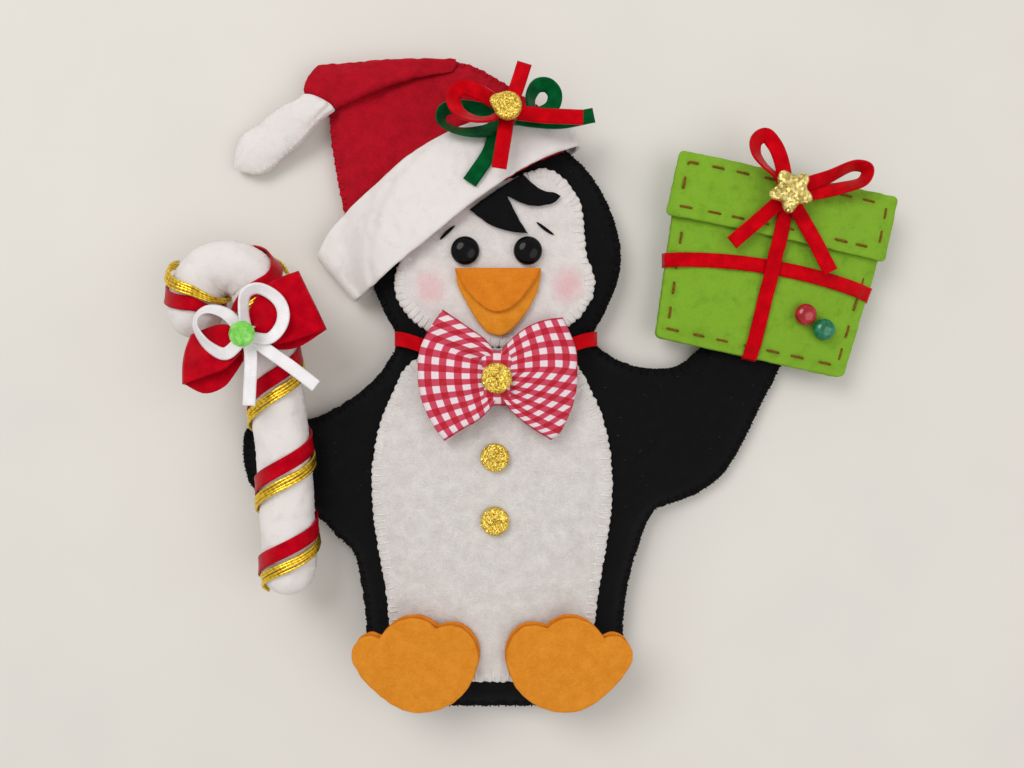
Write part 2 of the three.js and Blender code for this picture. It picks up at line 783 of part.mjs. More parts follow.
// Hat outline: its lower edge follows the brim, its sides climb to the crease
const hatRightShares = [[0.965, 0.69], [0.95, 0.755], [0.9, 0.8], [0.833, 0.845], [0.765, 0.895],
  [0.674, 0.951], [0.61, 0.982], [0.555, 0.997]];
const hatLeftShares = [[0.005, 0.96], [0.012, 0.862], [0.035, 0.775], [0.04, 0.69], [0.067, 0.504],
  [0.085, 0.409], [0.104, 0.31], [0.14, 0.167]];
function hatEdge(from, to, count) {
  const edge = [];
  for (let i = 0; i <= count; i += 1) {
    const { x, y } = brimLow.getPointAt(mix(from, to, i / count));
    edge.push([x + hatPeek * Math.sin(brimTurn * degree), y - hatPeek * Math.cos(brimTurn * degree)]);
  }
  return edge;
}
const hatRight = place(hatRightShares, hatLeftX, hatLowY, hatWidth, hatHeight);
const hatLeft = place(hatLeftShares, hatLeftX, hatLowY, hatWidth, hatHeight);
const hatLow = hatEdge(0.07, 0.93, 10);
const hatOutline = outlineOf([
  hatLow,
  [hatLow.at(-1), ...hatRight],
  [hatRight.at(-1), hatLeft[0]],
  [...hatLeft, hatLow[0]],
], outlineStep);
const hatPuff = puffOf(hatOutline, hatPuffShare);
const hatBackUnder = felt + layerGap;
const hatBackTop = hatBackUnder + felt;
const hatUnder = (x, y) => {
  const beyond = insideOutline(bodyOutline, x, y) ? 0 : distanceToOutline(bodyOutline, x, y);
  const overHead = appliedTop(x, y) + hatGap - headFallShare * beyond;
  return softMax(overHead, hatBackTop + seamGap + hatPuff(x, y), hatBlend);
};
const hatTop = (x, y) => hatUnder(x, y) + felt;
const brimUnder = (x, y) => hatTop(x, y) + hatGap;
const brimTop = (x, y) => brimUnder(x, y) + felt;

// A band that runs over the front, round both ends and back underneath, as rows of points
function bandRound({ low, high, front, back, reach, columns, steps, endSteps, grow }) {
  const rows = [];
  const plan = (share, across, under = false) => {
    const a = low(share, under);
    const b = high(share, under);
    return [mix(a.x, b.x, across), mix(a.y, b.y, across)];
  };
  const rowAt = (make) => rows.push([...Array(columns).keys()].map((j) => make(j / (columns - 1))));
  const point = (share, height) => (across) => {
    const [x, y] = plan(share, across, height === back);
    return new THREE.Vector3(x, y, height(x, y));
  };
  const end = (share, side, turn) => (across) => {
    const [x, y] = plan(share, across);
    const [inX, inY] = plan(share - side * 0.02, across);
    const away = new THREE.Vector2(x - inX, y - inY).normalize();
    const out = (reach + grow) * Math.cos(turn * degree);
    const middle = (front(x, y) + back(x, y)) / 2;
    const half = (front(x, y) - back(x, y)) / 2;
    return new THREE.Vector3(x + away.x * out, y + away.y * out, middle + half * Math.sin(turn * degree));
  };
  for (let i = 0; i <= steps; i += 1) rowAt(point(i / steps, front));
  for (let i = 1; i < endSteps; i += 1) rowAt(end(1, 1, 90 - (180 * i) / endSteps));
  for (let i = 0; i <= steps; i += 1) rowAt(point(1 - i / steps, back));
  for (let i = 1; i < endSteps; i += 1) rowAt(end(0, -1, -90 + (180 * i) / endSteps));
  return rows;
}

function addHat() {
  const patch = patchOf(hatOutline);
  addPiece('hat_back', thickPatch(patch, () => hatBackUnder, () => hatBackTop), redFelt());
  addPiece('hat_front', thickPatch(patch, hatUnder, hatTop), redFelt());
  const startShare = brimReach / brimLength;
  const along = (share) => mix(startShare, 1 - startShare, share);
  const band = {
    low: (share) => brimLow.getPointAt(along(share)),
    high: (share) => brimHigh.getPointAt(along(share)),
    reach: brimReach - felt,
    columns: 4,
    steps: 15,
    endSteps: 5,
  };
  const outer = bandRound({ ...band, front: brimTop, back: () => 0, grow: felt });
  const inner = bandRound({ ...band, front: brimUnder, back: () => felt, grow: 0 });
  addPiece('hat_brim', shell(outer, inner, true), whiteFelt());
}

// Hat tail: the cone's top folded over its crease, and the tip at the tail's end
const tailLowShares = [[0.97, -0.1], [0.86, -0.17], [0.72, -0.29], [0.57, -0.44], [0.42, -0.61],
  [0.27, -0.82], [0.12, -0.99]];
const tailEndShares = [[-0.55, -0.68], [-1, -0.62], [-0.98, -0.42], [-0.62, -0.14]];
const tailLow = place(tailLowShares, tailX, tailY - creaseGap, tailLength, tailDrop);
const tailEnd = place(tailEndShares, tailX, tailY - creaseGap, tailOverhang, tailDrop);
const creaseLeft = [tailX, tailY - creaseGap];
const creaseRight = [tailX + tailLength, hatRight.at(-1)[1] - 3 * creaseGap];
const tailOutline = outlineOf([
  [creaseLeft, creaseRight],
  [creaseRight, ...tailLow],
  [tailLow.at(-1), tailEnd[1]],
  [...tailEnd.slice(1), creaseLeft],
], fineOutlineStep);
const tailPuff = puffOf(tailOutline, tailPuffShare);
const tailUnder = (x, y) => hatTop(x, y) + layerGap;
const tailTop = (x, y) => tailUnder(x, y) + tailThickness + tailPuff(x, y);

function addTail() {
  const tail = thickPatch(patchOf(tailOutline, fineStep, [fineRingInset]), tailUnder, tailTop);
  addPiece('hat_tail', tail, redFelt());
}

// Hat tip: a stuffed drop that hangs from the tail's end down to the floor
function addTip() {
  const along = new THREE.Vector2(Math.cos(tipTurn * degree), Math.sin(tipTurn * degree));
  const rootHeight = tailUnder(tipRootX, tipRootY) + tipRootHalfHeight + felt;
  const stations = [0, 0.12, 0.35, 0.6, 0.8, 0.93, 0.985];
  const rings = stations.map((share) => {
    const round = Math.sqrt(1 - ease(0.66, 1.03, share) ** 2);
    const swell = ease(0, 0.6, share);
    const halfWidth = mix(tipRootHalfWidth, tipHalfWidth, swell) * round;
    const halfHeight = mix(tipRootHalfHeight, tipHalfHeight, swell) * round;
    const height = mix(rootHeight, tipHalfHeight - tipRestDepth, ease(0, 0.7, share));
    const acrossTurn = mix(tipRootTurn, tipTurn - 90, ease(0, 0.4, share)) * degree;
    const ring = [];
    for (let angle = 0; angle < 360; angle += 30) {
      const across = halfWidth * Math.cos(angle * degree);
      const x = tipRootX + along.x * tipLength * share + Math.cos(acrossTurn) * across;
      const y = tipRootY + along.y * tipLength * share + Math.sin(acrossTurn) * across;
      const z = Math.max(0, height + halfHeight * Math.sin(angle * degree));
      ring.push(new THREE.Vector3(x, y, z));
    }
    return ring;
  });
  addPiece('hat_tip', loft(rings), whiteFelt());
}

// Beak, eyes, brows and hair
const beakShares = [[1, 0], [0.97, -0.23], [0.8, -0.5], [0.57, -0.73], [0.27, -0.94], [0.02, -1],
  [-0.25, -0.94], [-0.53, -0.73], [-0.77, -0.46], [-0.93, -0.25], [-1, 0]];
const upperBeakShares = [[1, 0], [0.88, -0.23], [0.65, -0.55], [0.37, -0.86], [0.06, -1],
  [-0.18, -0.97], [-0.44, -0.8], [-0.72, -0.5], [-1, 0]];
const firstLockShares = [[-0.257, -0.2], [-0.18, -0.295], [-0.067, -0.375], [0.066, -0.422], [0.18, -0.439]];
const firstNotchShares = [[0.085, -0.183], [0.018, 0.039], [-0.02, 0.161]];
const secondLockShares = [[0.085, 0.067], [0.151, 0.022], [0.247, -0.003], [0.34, 0.011], [0.437, 0.067],
  [0.493, 0.161]];
const hairTopShares = [[0.417, 0.211], [0.313, 0.239], [0.237, 0.333]];

function addBeak() {
  const layers = [
    ['beak_lower', beakShares, beakDepth, secondUnder],
    ['beak_upper', upperBeakShares, upperBeakDepth, thirdUnder],
  ];
  for (const [name, shares, depth, under] of layers) {
    const points = place(shares, beakX, beakTopY, beakHalfWidth, depth);
    const outline = outlineOf([points, [points.at(-1), points[0]]], fineOutlineStep);
    const patch = patchOf(outline, fineStep, [fineRingInset]);
    addPiece(name, thickPatch(patch, under, (x, y) => under(x, y) + felt), orangeFelt());
  }
}

function addEyes() {
  const profile = [[0, 0], [0.8, 0], [1, 0.35], [0.93, 0.65], [0.62, 0.92], [0, 1]];
  const bead = profile.map(([r, h]) => [r * eyeRadius, h * eyeHeight]);
  for (const [name, side] of [['eye_left', -1], ['eye_right', 1]]) {
    const x = eyeX + (side * eyeSpacing) / 2;
    addSeated(name, turned(bead), blackBead(), appliedTop, x, eyeY, eyeRadius);
  }
}

function addBrow(name, x, y, length, turn) {
  const along = new THREE.Vector2(Math.cos(turn * degree), Math.sin(turn * degree));
  const rings = [-0.5, -0.2, 0.2, 0.5].map((share) => {
    const radius = (browThickness / 2) * Math.sqrt(1.1 - 4 * share * share * 0.9);
    const ring = [];
    for (let angle = 0; angle < 360; angle += 60) {
      const across = radius * Math.cos(angle * degree);
      const px = x + along.x * length * share - along.y * across;
      const py = y + along.y * length * share + along.x * across;
      const lift = trimGap + browThickness / 2 + radius * Math.sin(angle * degree);
      ring.push(new THREE.Vector3(px, py, appliedTop(px, py) + lift));
    }
    return ring;
  });
  addPiece(name, loft(rings), blackFelt());
}

function addHair() {
  const lock = (shares) => place(shares, hairX, hairY, hairWidth, hairHeight);
  const line = [];
  const away = 2 * hatPeek + trimGap;
  for (let i = 0; i <= 4; i += 1) {
    const { x, y } = brimLow.getPointAt(mix(hairLineStartShare, hairLineEndShare, i / 4));
    line.push([x + away * Math.sin(brimTurn * degree), y - away * Math.cos(brimTurn * degree)]);
  }
  const [first, notch, second, top] = [firstLockShares, firstNotchShares, secondLockShares,
    hairTopShares].map(lock);
  const outline = outlineOf([
    [line[0], ...first],
    [first.at(-1), ...notch],
    [notch.at(-1), ...second],
    [second.at(-1), ...top, line.at(-1)],
    [...line].reverse(),
  ], fineOutlineStep);
  const patch = patchOf(outline, fineStep, [fineRingInset]);
  addPiece('hair_tuft', thickPatch(patch, secondUnder, secondTop), blackFelt());
}

// Feet: two flat layers each, tilted to lie on the belly's lower end
const footToeShares = [
  [[-0.28, 0.3], [-0.36, 0.33], [-0.44, 0.29], [-0.49, 0.2], [-0.5, 0.09], [-0.44, -0.07],
    [-0.34, -0.235], [-0.2, -0.39], [-0.06, -0.475], [0.09, -0.49], [0.235, -0.44], [0.335, -0.355],
    [0.42, -0.235], [0.47, -0.1], [0.5, 0.07], [0.48, 0.205], [0.43, 0.32], [0.345, 0.4],
    [0.25, 0.415], [0.17, 0.39]],
  [[0.17, 0.39], [0.09, 0.465], [-0.01, 0.5], [-0.12, 0.475], [-0.21, 0.4], [-0.28, 0.3]],
];
function lapTop(x, y) {
  const overBelly = insideOutline(bellyOutline, x, y) || distanceToOutline(bellyOutline, x, y) < ringInset;
  if (overBelly) return appliedTop(x, y);
  return insideOutline(bodyOutline, x, y) ? frontTop(x, y) : 0;
}
function addFoot(side, x, mirror) {
  const toes = footToeShares.map((shares) => shares.map(([a, b]) => [a * mirror, b]));
  const outline = outlineOf(toes.map((shares) => place(shares, x, footY, footWidth, footHeight)),
    fineOutlineStep);
  const patch = patchOf(outline, latticeStep, [ringInset]);
  const slope = (px, py) => footTiltShare * (py - footY) - footRollShare * mirror * (px - x);
  const seat = Math.max(...patch.points.map((point) => lapTop(point.x, point.y) - slope(point.x, point.y)));
  const layer = (height) => (px, py) => seat + layerGap + height + slope(px, py);
  const second = felt + seamGap;
  addPiece(`${side}_foot_back`, thickPatch(patch, layer(0), layer(felt)), orangeFelt());
  addPiece(`${side}_foot_front`, thickPatch(patch, layer(second), layer(second + felt)), orangeFelt());
}

// Neck ribbon, bow tie and buttons
const chestTop = (x, y) => seatHeight(appliedTop, x, y, neckClearReach) + satinThickness + 2 * trimGap;
function addNeckRibbon() {
  const edge = (side) => (share, under) => {
    const x = mix(-neckHalfWidth, neckHalfWidth, share);
    const dip = under ? 0 : neckRibbonDip * (1 - (x / neckHalfWidth) ** 2);
    return { x, y: neckRibbonY - dip + (side * satinWidth) / 2 };
  };
  const overFelt = (x) => (felt + layerGap) * (1 - ease(faceHalfWidth * 0.88, neckHalfWidth, Math.abs(x)));
  const underRibbon = (x, y) => frontTop(x, y) + overFelt(x);
  const frontFoot = (x, y) => seatHeight(underRibbon, x, y, neckClearReach);
  const backFoot = (x, y) => seatUnder(backUnder, x, y, neckClearReach);
  const band = { low: edge(-1), high: edge(1), reach: neckReach, columns: 2, steps: 16, endSteps: 4 };
  const outer = bandRound({
    ...band,
    front: (x, y) => frontFoot(x, y) + satinThickness,
    back: (x, y) => backFoot(x, y) - satinThickness,
    grow: satinThickness,
  });
  const inner = bandRound({ ...band, front: frontFoot, back: backFoot, grow: 0 });
  addPiece('neck_ribbon', shell(outer, inner, true), redSatin());
}

function addBowTie() {
  const loopSizes = {
    x: bowX,
    y: bowY,
    length: bowLength,
    endWidth: bowEndWidth,
    knotWidth: bowKnotWidth,
    rise: bowRise,
    thickness: clothThickness,
    base: chestTop,
    columns: 5,
  };
  const base = chestTop(bowX, bowY);
  const knotHalf = bowRise * 0.55;
  const loops = [0, 180].map((turn) => bowLoop({ ...loopSizes, turn }));
  const knotSizes = [bowKnotWidth * 0.45, bowKnotWidth * 0.55, knotHalf];
  const middle = knot(bowX, bowY, base + knotHalf + trimGap, ...knotSizes);
  addPiece('bow_tie', fuse([...loops, middle]), gingham());
  const bowButton = addPiece('bow_button', domed(bowButtonRadius, buttonHeight, 0.6), goldGlitter());
  bowButton.position.set(bowX, bowY, base + 2 * knotHalf + 2 * trimGap);
  const spots = [['belly_button_upper', upperButtonY], ['belly_button_lower', lowerButtonY]];
  for (const [name, y] of spots) {
    const button = domed(buttonRadius, buttonHeight, 0.6);
    addSeated(name, button, goldGlitter(), appliedTop, buttonX, y, buttonRadius);
  }
}

// Edge threads of the blanket stitch: one thin ring round each sewn outline
function ringThread(outline, out, lowest) {
  const middle = inset(outline, -out);
  const rows = (side) => inset(outline, -out - (side * threadThickness) / 2).map(({ x, y }, i) => {
    const z = lowest(middle[i].x, middle[i].y);
    return [new THREE.Vector3(x, y, z), new THREE.Vector3(x, y, z + threadThickness)];
  });
  return shell(rows(1), rows(-1), true);
}
function addThreads() {
  const beside = seamGap + threadThickness / 2;
  const atSeam = (x) => seamHeight(x) - threadThickness / 2;
  const onFelt = (x, y) => frontTop(x, y) + seamGap;
  addPiece('body_seam_thread', ringThread(bodyOutline, beside, atSeam), blackFelt());
  addPiece('face_seam_thread', ringThread(faceOutline, beside, onFelt), whiteFelt());
  addPiece('belly_seam_thread', ringThread(bellyOutline, beside, onFelt), whiteFelt());
}

// Satin bows made of flat tails and tipped loops, joined in a knot
function drape(points, surface, start, droop) {
  return points.map(([x, y], i) => {
    const hung = start - (droop * i) / (points.length - 1);
    return [x, y, Math.max(surface(x, y), hung)];
  });
}
function satinBow({ x, y, span, width, surface, seat, droop, loops, tails, knotHeight }) {
  const step = ribbonStep;
  const half = (width / 2) * Math.sin(curlTilt * degree) + satinThickness;
  const parts = [knot(x, y, seat + knotHeight / 2, knotRadius, knotRadius, knotHeight / 2)];
  for (const shares of loops) {
    const points = drape(place(shares, x, y, span, span), surface, seat + half, 0);
    const raised = points.map(([px, py, z]) => [px, py, Math.max(z, surface(px, py) + half)]);
    parts.push(...ribbon(raised, width, satinThickness, { tilt: curlTilt, step, lengths: loopLengths }));
  }
  for (const shares of tails) {
    const route = [[x, y], ...place(shares, x, y, span, span)];
    const points = drape(route, surface, seat + satinThickness, droop);
    const raised = points.map(([px, py, z]) => [px, py, z + satinThickness]);
    parts.push(...ribbon(raised, width, satinThickness, { step }));
  }
  return fuse(parts);
}

const greenLoopShares = [
  [[0.06, 0], [0.25, 0.06], [0.26, 0.21], [0.34, 0.34], [0.46, 0.35], [0.54, 0.26], [0.52, 0.13],
    [0.42, 0.05], [0.08, -0.03]],
  [[-0.06, -0.03], [-0.2, -0.17], [-0.43, -0.21], [-0.63, -0.17], [-0.77, -0.07], [-0.75, 0.05],
    [-0.62, 0.1], [-0.06, 0.03]],
];
const greenTailShares = [
  [[-0.12, -0.17], [-0.22, -0.46], [-0.44, -0.8]],
  [[0.3, -0.04], [0.6, -0.05], [1, 0.03]],
];
const redLoopShares = [
  [[-0.06, -0.03], [-0.2, -0.11], [-0.38, -0.11], [-0.57, 0], [-0.62, 0.17], [-0.52, 0.27],
    [-0.34, 0.22], [-0.06, 0.04]],
];
const redTailShares = [
  [[0.1, 0.28], [0.19, 0.57]],
  [[-0.05, -0.35], [-0.1, -0.68]],
  [[0.36, -0.04], [0.86, -0.05]],
];

function addHatTrims() {
  const hatSurface = (x, y) => seatHeight(brimTop, x, y, satinWidth / 2);
  const sheetHeight = satinWidth * Math.sin(curlTilt * degree) + 2 * satinThickness;
  const greenSeat = seatHeight(brimTop, hatBowX, hatBowY, knotRadius);
  const shared = { x: hatBowX, y: hatBowY, span: hatBowSpan, width: satinWidth, droop: hatBowDroop };
  const green = satinBow({
    ...shared,
    surface: hatSurface,
    seat: greenSeat,
    loops: greenLoopShares,
    tails: greenTailShares,
    knotHeight: sheetHeight,
  });
  const redSurface = (x, y) => hatSurface(x, y) + sheetHeight + 2 * trimGap;
  const redSeat = greenSeat + sheetHeight + 2 * trimGap;
  const red = satinBow({
    ...shared,
    surface: redSurface,
    seat: redSeat,
    loops: redLoopShares,
    tails: redTailShares,
    knotHeight: sheetHeight,
  });
  addPiece('hat_ribbon_green', green, greenSatin());
  addPiece('hat_ribbon_red', red, redSatin());
  const gem = addPiece('hat_gem', domed(gemRadius, gemHeight, 0.3), goldGlitter());
  gem.position.set(hatBowX, hatBowY, redSeat + sheetHeight + trimGap + satinThickness);
}

// Gift: a flat pouch with a lid flap, seated on the right wing's tip
const giftSpot = (x, y) => place([[x, y]], giftX, giftY, 1, 1, giftTurn)[0];
function giftPanel(x, y, width, height, footWidth = width) {
  const [originX, originY] = giftSpot(x, y);
  const foot = footWidth / width / 2;
  const corners = place([[-foot, -0.5], [foot, -0.5], [0.5, 0.5], [-0.5, 0.5]],
    originX, originY, width, height, giftTurn);
  const sides = corners.map((corner, i) => [corner, corners[(i + 1) % 4]]);
  return outlineOf(sides, outlineStep);
}
const giftOutline = giftPanel(0, 0, giftWidth, giftBodyHeight, giftFootWidth);
const giftPuff = puffOf(giftOutline, giftPuffShare);
const nearGift = ({ x, y }) => insideOutline(giftOutline, x, y)
  || distanceToOutline(giftOutline, x, y) < ringInset;
const wingUnderGift = patchOf(bodyOutline).points.filter(nearGift).map(({ x, y }) => frontTop(x, y));
const giftBase = Math.max(...wingUnderGift) + trimGap;
const giftFrontUnder = (x, y) => giftBase + felt + seamGap + giftPuff(x, y);
const giftTop = (x, y) => giftFrontUnder(x, y) + felt;
const giftLidUnder = (x, y) => seatHeight(giftTop, x, y, lidClearReach);
const giftLidTop = (x, y) => giftLidUnder(x, y) + felt;

function giftBand(line, count, foot) {
  const across = [-0.5, 0, 0.5];
  const rows = (height) => {
    const grid = [];
    for (let i = 0; i <= count; i += 1) {
      const share = i / count;
      grid.push(across.map((side) => {
        const [localX, localY, sideX, sideY] = line(share, side * satinWidth);
        const [x, y] = giftSpot(localX + sideX, localY + sideY);
        return new THREE.Vector3(x, y, foot(x, y, localX, localY) + height);
      }));
    }
    return grid;
  };
  return shell(rows(satinThickness), rows(0));
}
const giftUpLoopShares = [[-0.06, 0.06], [-0.15, 0.22], [-0.3, 0.36], [-0.4, 0.52], [-0.39, 0.68],
  [-0.27, 0.755], [-0.15, 0.64], [-0.07, 0.455], [-0.01, 0.06]];
const giftSideLoopShares = [[0.05, 0.04], [0.24, 0.12], [0.51, 0.21], [0.86, 0.355], [1.01, 0.31],
  [0.97, 0.17], [0.7, 0.08], [0.06, -0.02]];
const giftTailShares = [
  [[-0.11, -0.11], [-0.43, -0.39], [-0.7, -0.62]],
  [[0.1, -0.14], [0.33, -0.55], [0.56, -0.99]],
];

function addGift() {
  const patch = patchOf(giftOutline);
  const lid = patchOf(giftPanel(giftLidX, giftLidY, giftLidWidth, giftLidHeight));
  addPiece('gift_back', thickPatch(patch, () => giftBase, () => giftBase + felt), limeFelt());
  addPiece('gift_front', thickPatch(patch, giftFrontUnder, giftTop), limeFelt());
  addPiece('gift_lid', thickPatch(lid, giftLidUnder, giftLidTop), limeFelt());
  const fill = thickPatch(
    patchOf(inset(giftOutline, latticeStep)),
    () => giftBase + felt + seamGap,
    (x, y) => giftFrontUnder(x, y) - seamGap,
  );
  addPiece('gift_padding', fill, filling());

  const lidFoot = giftLidY - giftLidHeight / 2;
  const acrossFoot = (x, y) => giftTop(x, y) + trimGap;
  const half = mix(giftFootWidth, giftWidth, 0.5 + giftBandY / giftBodyHeight) / 2;
  const acrossLine = (share, side) => {
    const x = mix(-half, half, share);
    return [x, giftBandY + giftBandBow * (1 - ((x - half / 4) / half) ** 2), 0, side];
  };
  addPiece('gift_band_horizontal', giftBand(acrossLine, 9, acrossFoot), redSatin());
  const bandLow = -giftBodyHeight / 2;
  const downLine = (share, side) => [0, mix(bandLow, giftLidY, share), side, 0];
  const crossY = giftBandY + giftBandBow;
  const downFoot = (x, y, localX, localY) => {
    const onLid = ease(lidFoot - lidStep - satinWidth, lidFoot - lidStep, localY);
    const overLid = onLid * (giftLidTop(x, y) - giftTop(x, y));
    const apart = Math.abs(localY - crossY);
    const overBand = (satinThickness + trimGap) * (1 - ease(satinWidth, 2 * satinWidth, apart));
    return giftTop(x, y) + trimGap + Math.max(overLid, overBand);
  };
  addPiece('gift_band_vertical', giftBand(downLine, 20, downFoot), redSatin());

  const [bowAtX, bowAtY] = giftSpot(giftBowX, giftBowY);
  const bowSurface = (x, y) => giftLidTop(x, y) + satinThickness + 2 * trimGap;
  const bowSeat = bowSurface(bowAtX, bowAtY);
  const bowHeight = satinWidth * Math.sin(curlTilt * degree) + 2 * satinThickness;
  const bow = satinBow({
    x: bowAtX,
    y: bowAtY,
    span: giftBowSpan,
    width: satinWidth,
    surface: bowSurface,
    seat: bowSeat,
    droop: 0,
    loops: [giftUpLoopShares, giftSideLoopShares],
    tails: giftTailShares,
    knotHeight: bowHeight,
  });
  addPiece('gift_bow', bow, redSatin());

  const star = new THREE.Shape();
  for (let angle = 0; angle < 360; angle += 12) {
    const radius = starRadius * (0.84 + 0.16 * Math.cos(5 * angle * degree));
    const point = [radius * Math.sin(angle * degree), radius * Math.cos(angle * degree)];
    if (angle === 0) star.moveTo(...point);
    else star.lineTo(...point);
  }
  star.closePath();
  const starBody = new THREE.ExtrudeGeometry(star, { depth: starHeight, bevelEnabled: false });
  const starMesh = addPiece('gift_star', starBody, goldGlitter());
  starMesh.position.set(bowAtX, bowAtY, bowSeat + bowHeight + satinThickness + trimGap);
  starMesh.rotation.z = starTurn * degree;
  const beadProfile = [[0, 0], [0.7, 0], [1, 0.4], [0.75, 0.85], [0, 1]];
  const bead = beadProfile.map(([r, h]) => [r * beadRadius, h * beadHeight]);
  const beads = [
    ['gift_bead_red', redBead(), redBeadX, redBeadY],
    ['gift_bead_green', greenBead(), greenBeadX, greenBeadY],
  ];
  for (const [name, material, x, y] of beads) {
    const [px, py] = giftSpot(x, y);
    addSeated(name, turned(bead, 12), material, giftTop, px, py, beadRadius);
  }
}

// Cane: two sewn halves over a filled core, hooked, lying across the left wing's tip
const caneStemShares = [[0, 0], [-0.045, 0.185], [-0.155, 0.4], [-0.36, 0.61], [-0.66, 0.825]];
const hookX = caneX - caneLean - caneHookRadius;
const hookY = caneY + caneRise;
const hookTurns = [0, 30, 60, 90, 120, 150, 180];
const caneEndShares = [[0.01, -0.5], [0.07, -1]];
const caneCurve = new THREE.CatmullRomCurve3(
  [
    ...place(caneStemShares, caneX, caneY, caneLean, caneRise),
    ...hookTurns.map((turn) => [
      hookX + caneHookRadius * Math.cos(turn * degree),
      hookY + caneHookRadius * Math.sin(turn * degree),
    ]),
    ...place(caneEndShares, hookX - caneHookRadius, hookY, caneHookRadius, caneHookDrop),
  ].map(([x, y]) => new THREE.Vector3(x, y, 0)),
  false,
  'centripetal',
);
caneCurve.arcLengthDivisions = 400;
const caneLength = caneCurve.getLength();
const windAllowance = caneWindGap + goldCordThickness + windGap;
function caneFrame(distance) {
  const share = clamp01(distance / caneLength);
  const point = caneCurve.getPointAt(share);
  const tangent = caneCurve.getTangentAt(share);
  const toEnd = Math.min(distance, caneLength - distance);
  const round = Math.sqrt(Math.max(0.12, 1 - (1 - clamp01(toEnd / caneTipLength)) ** 2));
  return { point, across: new THREE.Vector3(-tangent.y, tangent.x, 0), tangent, round };
}
let caneMiddle = 0;
for (let distance = 0; distance <= caneLength; distance += fineStep) {
  const { point, across } = caneFrame(distance);
  for (const share of [-0.9, -0.6, -0.3, 0, 0.3, 0.6, 0.9]) {
    const x = point.x + across.x * share * caneHalfWidth;
    const y = point.y + across.y * share * caneHalfWidth;
    const wing = insideOutline(bodyOutline, x, y) ? frontTop(x, y) : 0;
    const below = caneHalfHeight * Math.sqrt(1 - share * share);
    caneMiddle = Math.max(caneMiddle, wing + windAllowance + below);
  }
}
function canePoint(distance, angle, offset, lift = 0) {
  const { point, across, round } = caneFrame(distance);
  const side = (caneHalfWidth * round + offset) * Math.cos(angle * degree);
  const rise = (caneHalfHeight * round + offset) * Math.sin(angle * degree);
  const z = caneMiddle + rise + lift;
  return new THREE.Vector3(point.x + across.x * side, point.y + across.y * side, z);
}

function caneFeltTop(x, y) {
  let height = 0;
  for (let distance = 0; distance <= caneLength; distance += fineStep) {
    const { point, across, tangent } = caneFrame(distance);
    const away = new THREE.Vector3(x, y, 0).sub(point);
    const side = away.dot(across) / caneHalfWidth;
    const beside = Math.abs(side) < 1 && Math.abs(away.dot(tangent)) <= fineStep;
    if (beside) height = Math.max(height, caneMiddle + caneHalfHeight * Math.sqrt(1 - side * side));
  }
  return height;
}

function caneStations(margin) {
  const count = 20;
  const stations = [];
  for (let i = 0; i <= count; i += 1) stations.push((caneLength * i) / count);
  const near = caneTipLength * 0.3;
  return [stations[0], near, ...stations.slice(1, -1), caneLength - near, stations.at(-1)]
    .filter((distance) => Math.min(distance, caneLength - distance) >= margin);
}
function addCane() {
  for (const [name, start] of [['cane_front_panel', 0], ['cane_back_panel', 180]]) {
    const lift = start === 0 ? seamGap / 2 : -seamGap / 2;
    const rows = (offset) => caneStations(0).map((distance) => {
      const row = [];
      for (let angle = start; angle <= start + 180; angle += 36) {
        row.push(canePoint(distance, angle, offset, lift));
      }
      return row;
    });
    addPiece(name, shell(rows(0), rows(-caneShell)), whiteFelt());
  }
  const rings = caneStations(caneTipLength * 0.3).map((distance) => {
    const ring = [];
    const offset = -caneShell - layerGap;
    for (let angle = 0; angle < 360; angle += 36) ring.push(canePoint(distance, angle, offset));
    return ring;
  });
  addPiece('cane_stuffing', loft(rings), filling());
}

// A smooth reading between the rows of a table
function readAt(table, value) {
  let row = 0;
  while (row < table.length - 2 && value > table[row + 1][0]) row += 1;
  const slopeAt = (index) => {
    const before = table[Math.max(0, index - 1)];
    const after = table[Math.min(table.length - 1, index + 1)];
    return (after[1] - before[1]) / (after[0] - before[0]);
  };
  const span = table[row + 1][0] - table[row][0];
  const t = (value - table[row][0]) / span;
  const low = table[row][1] + slopeAt(row) * span * t;
  const high = table[row + 1][1] - slopeAt(row + 1) * span * (1 - t);
  return mix(low, high, ease(0, 1, t));
}

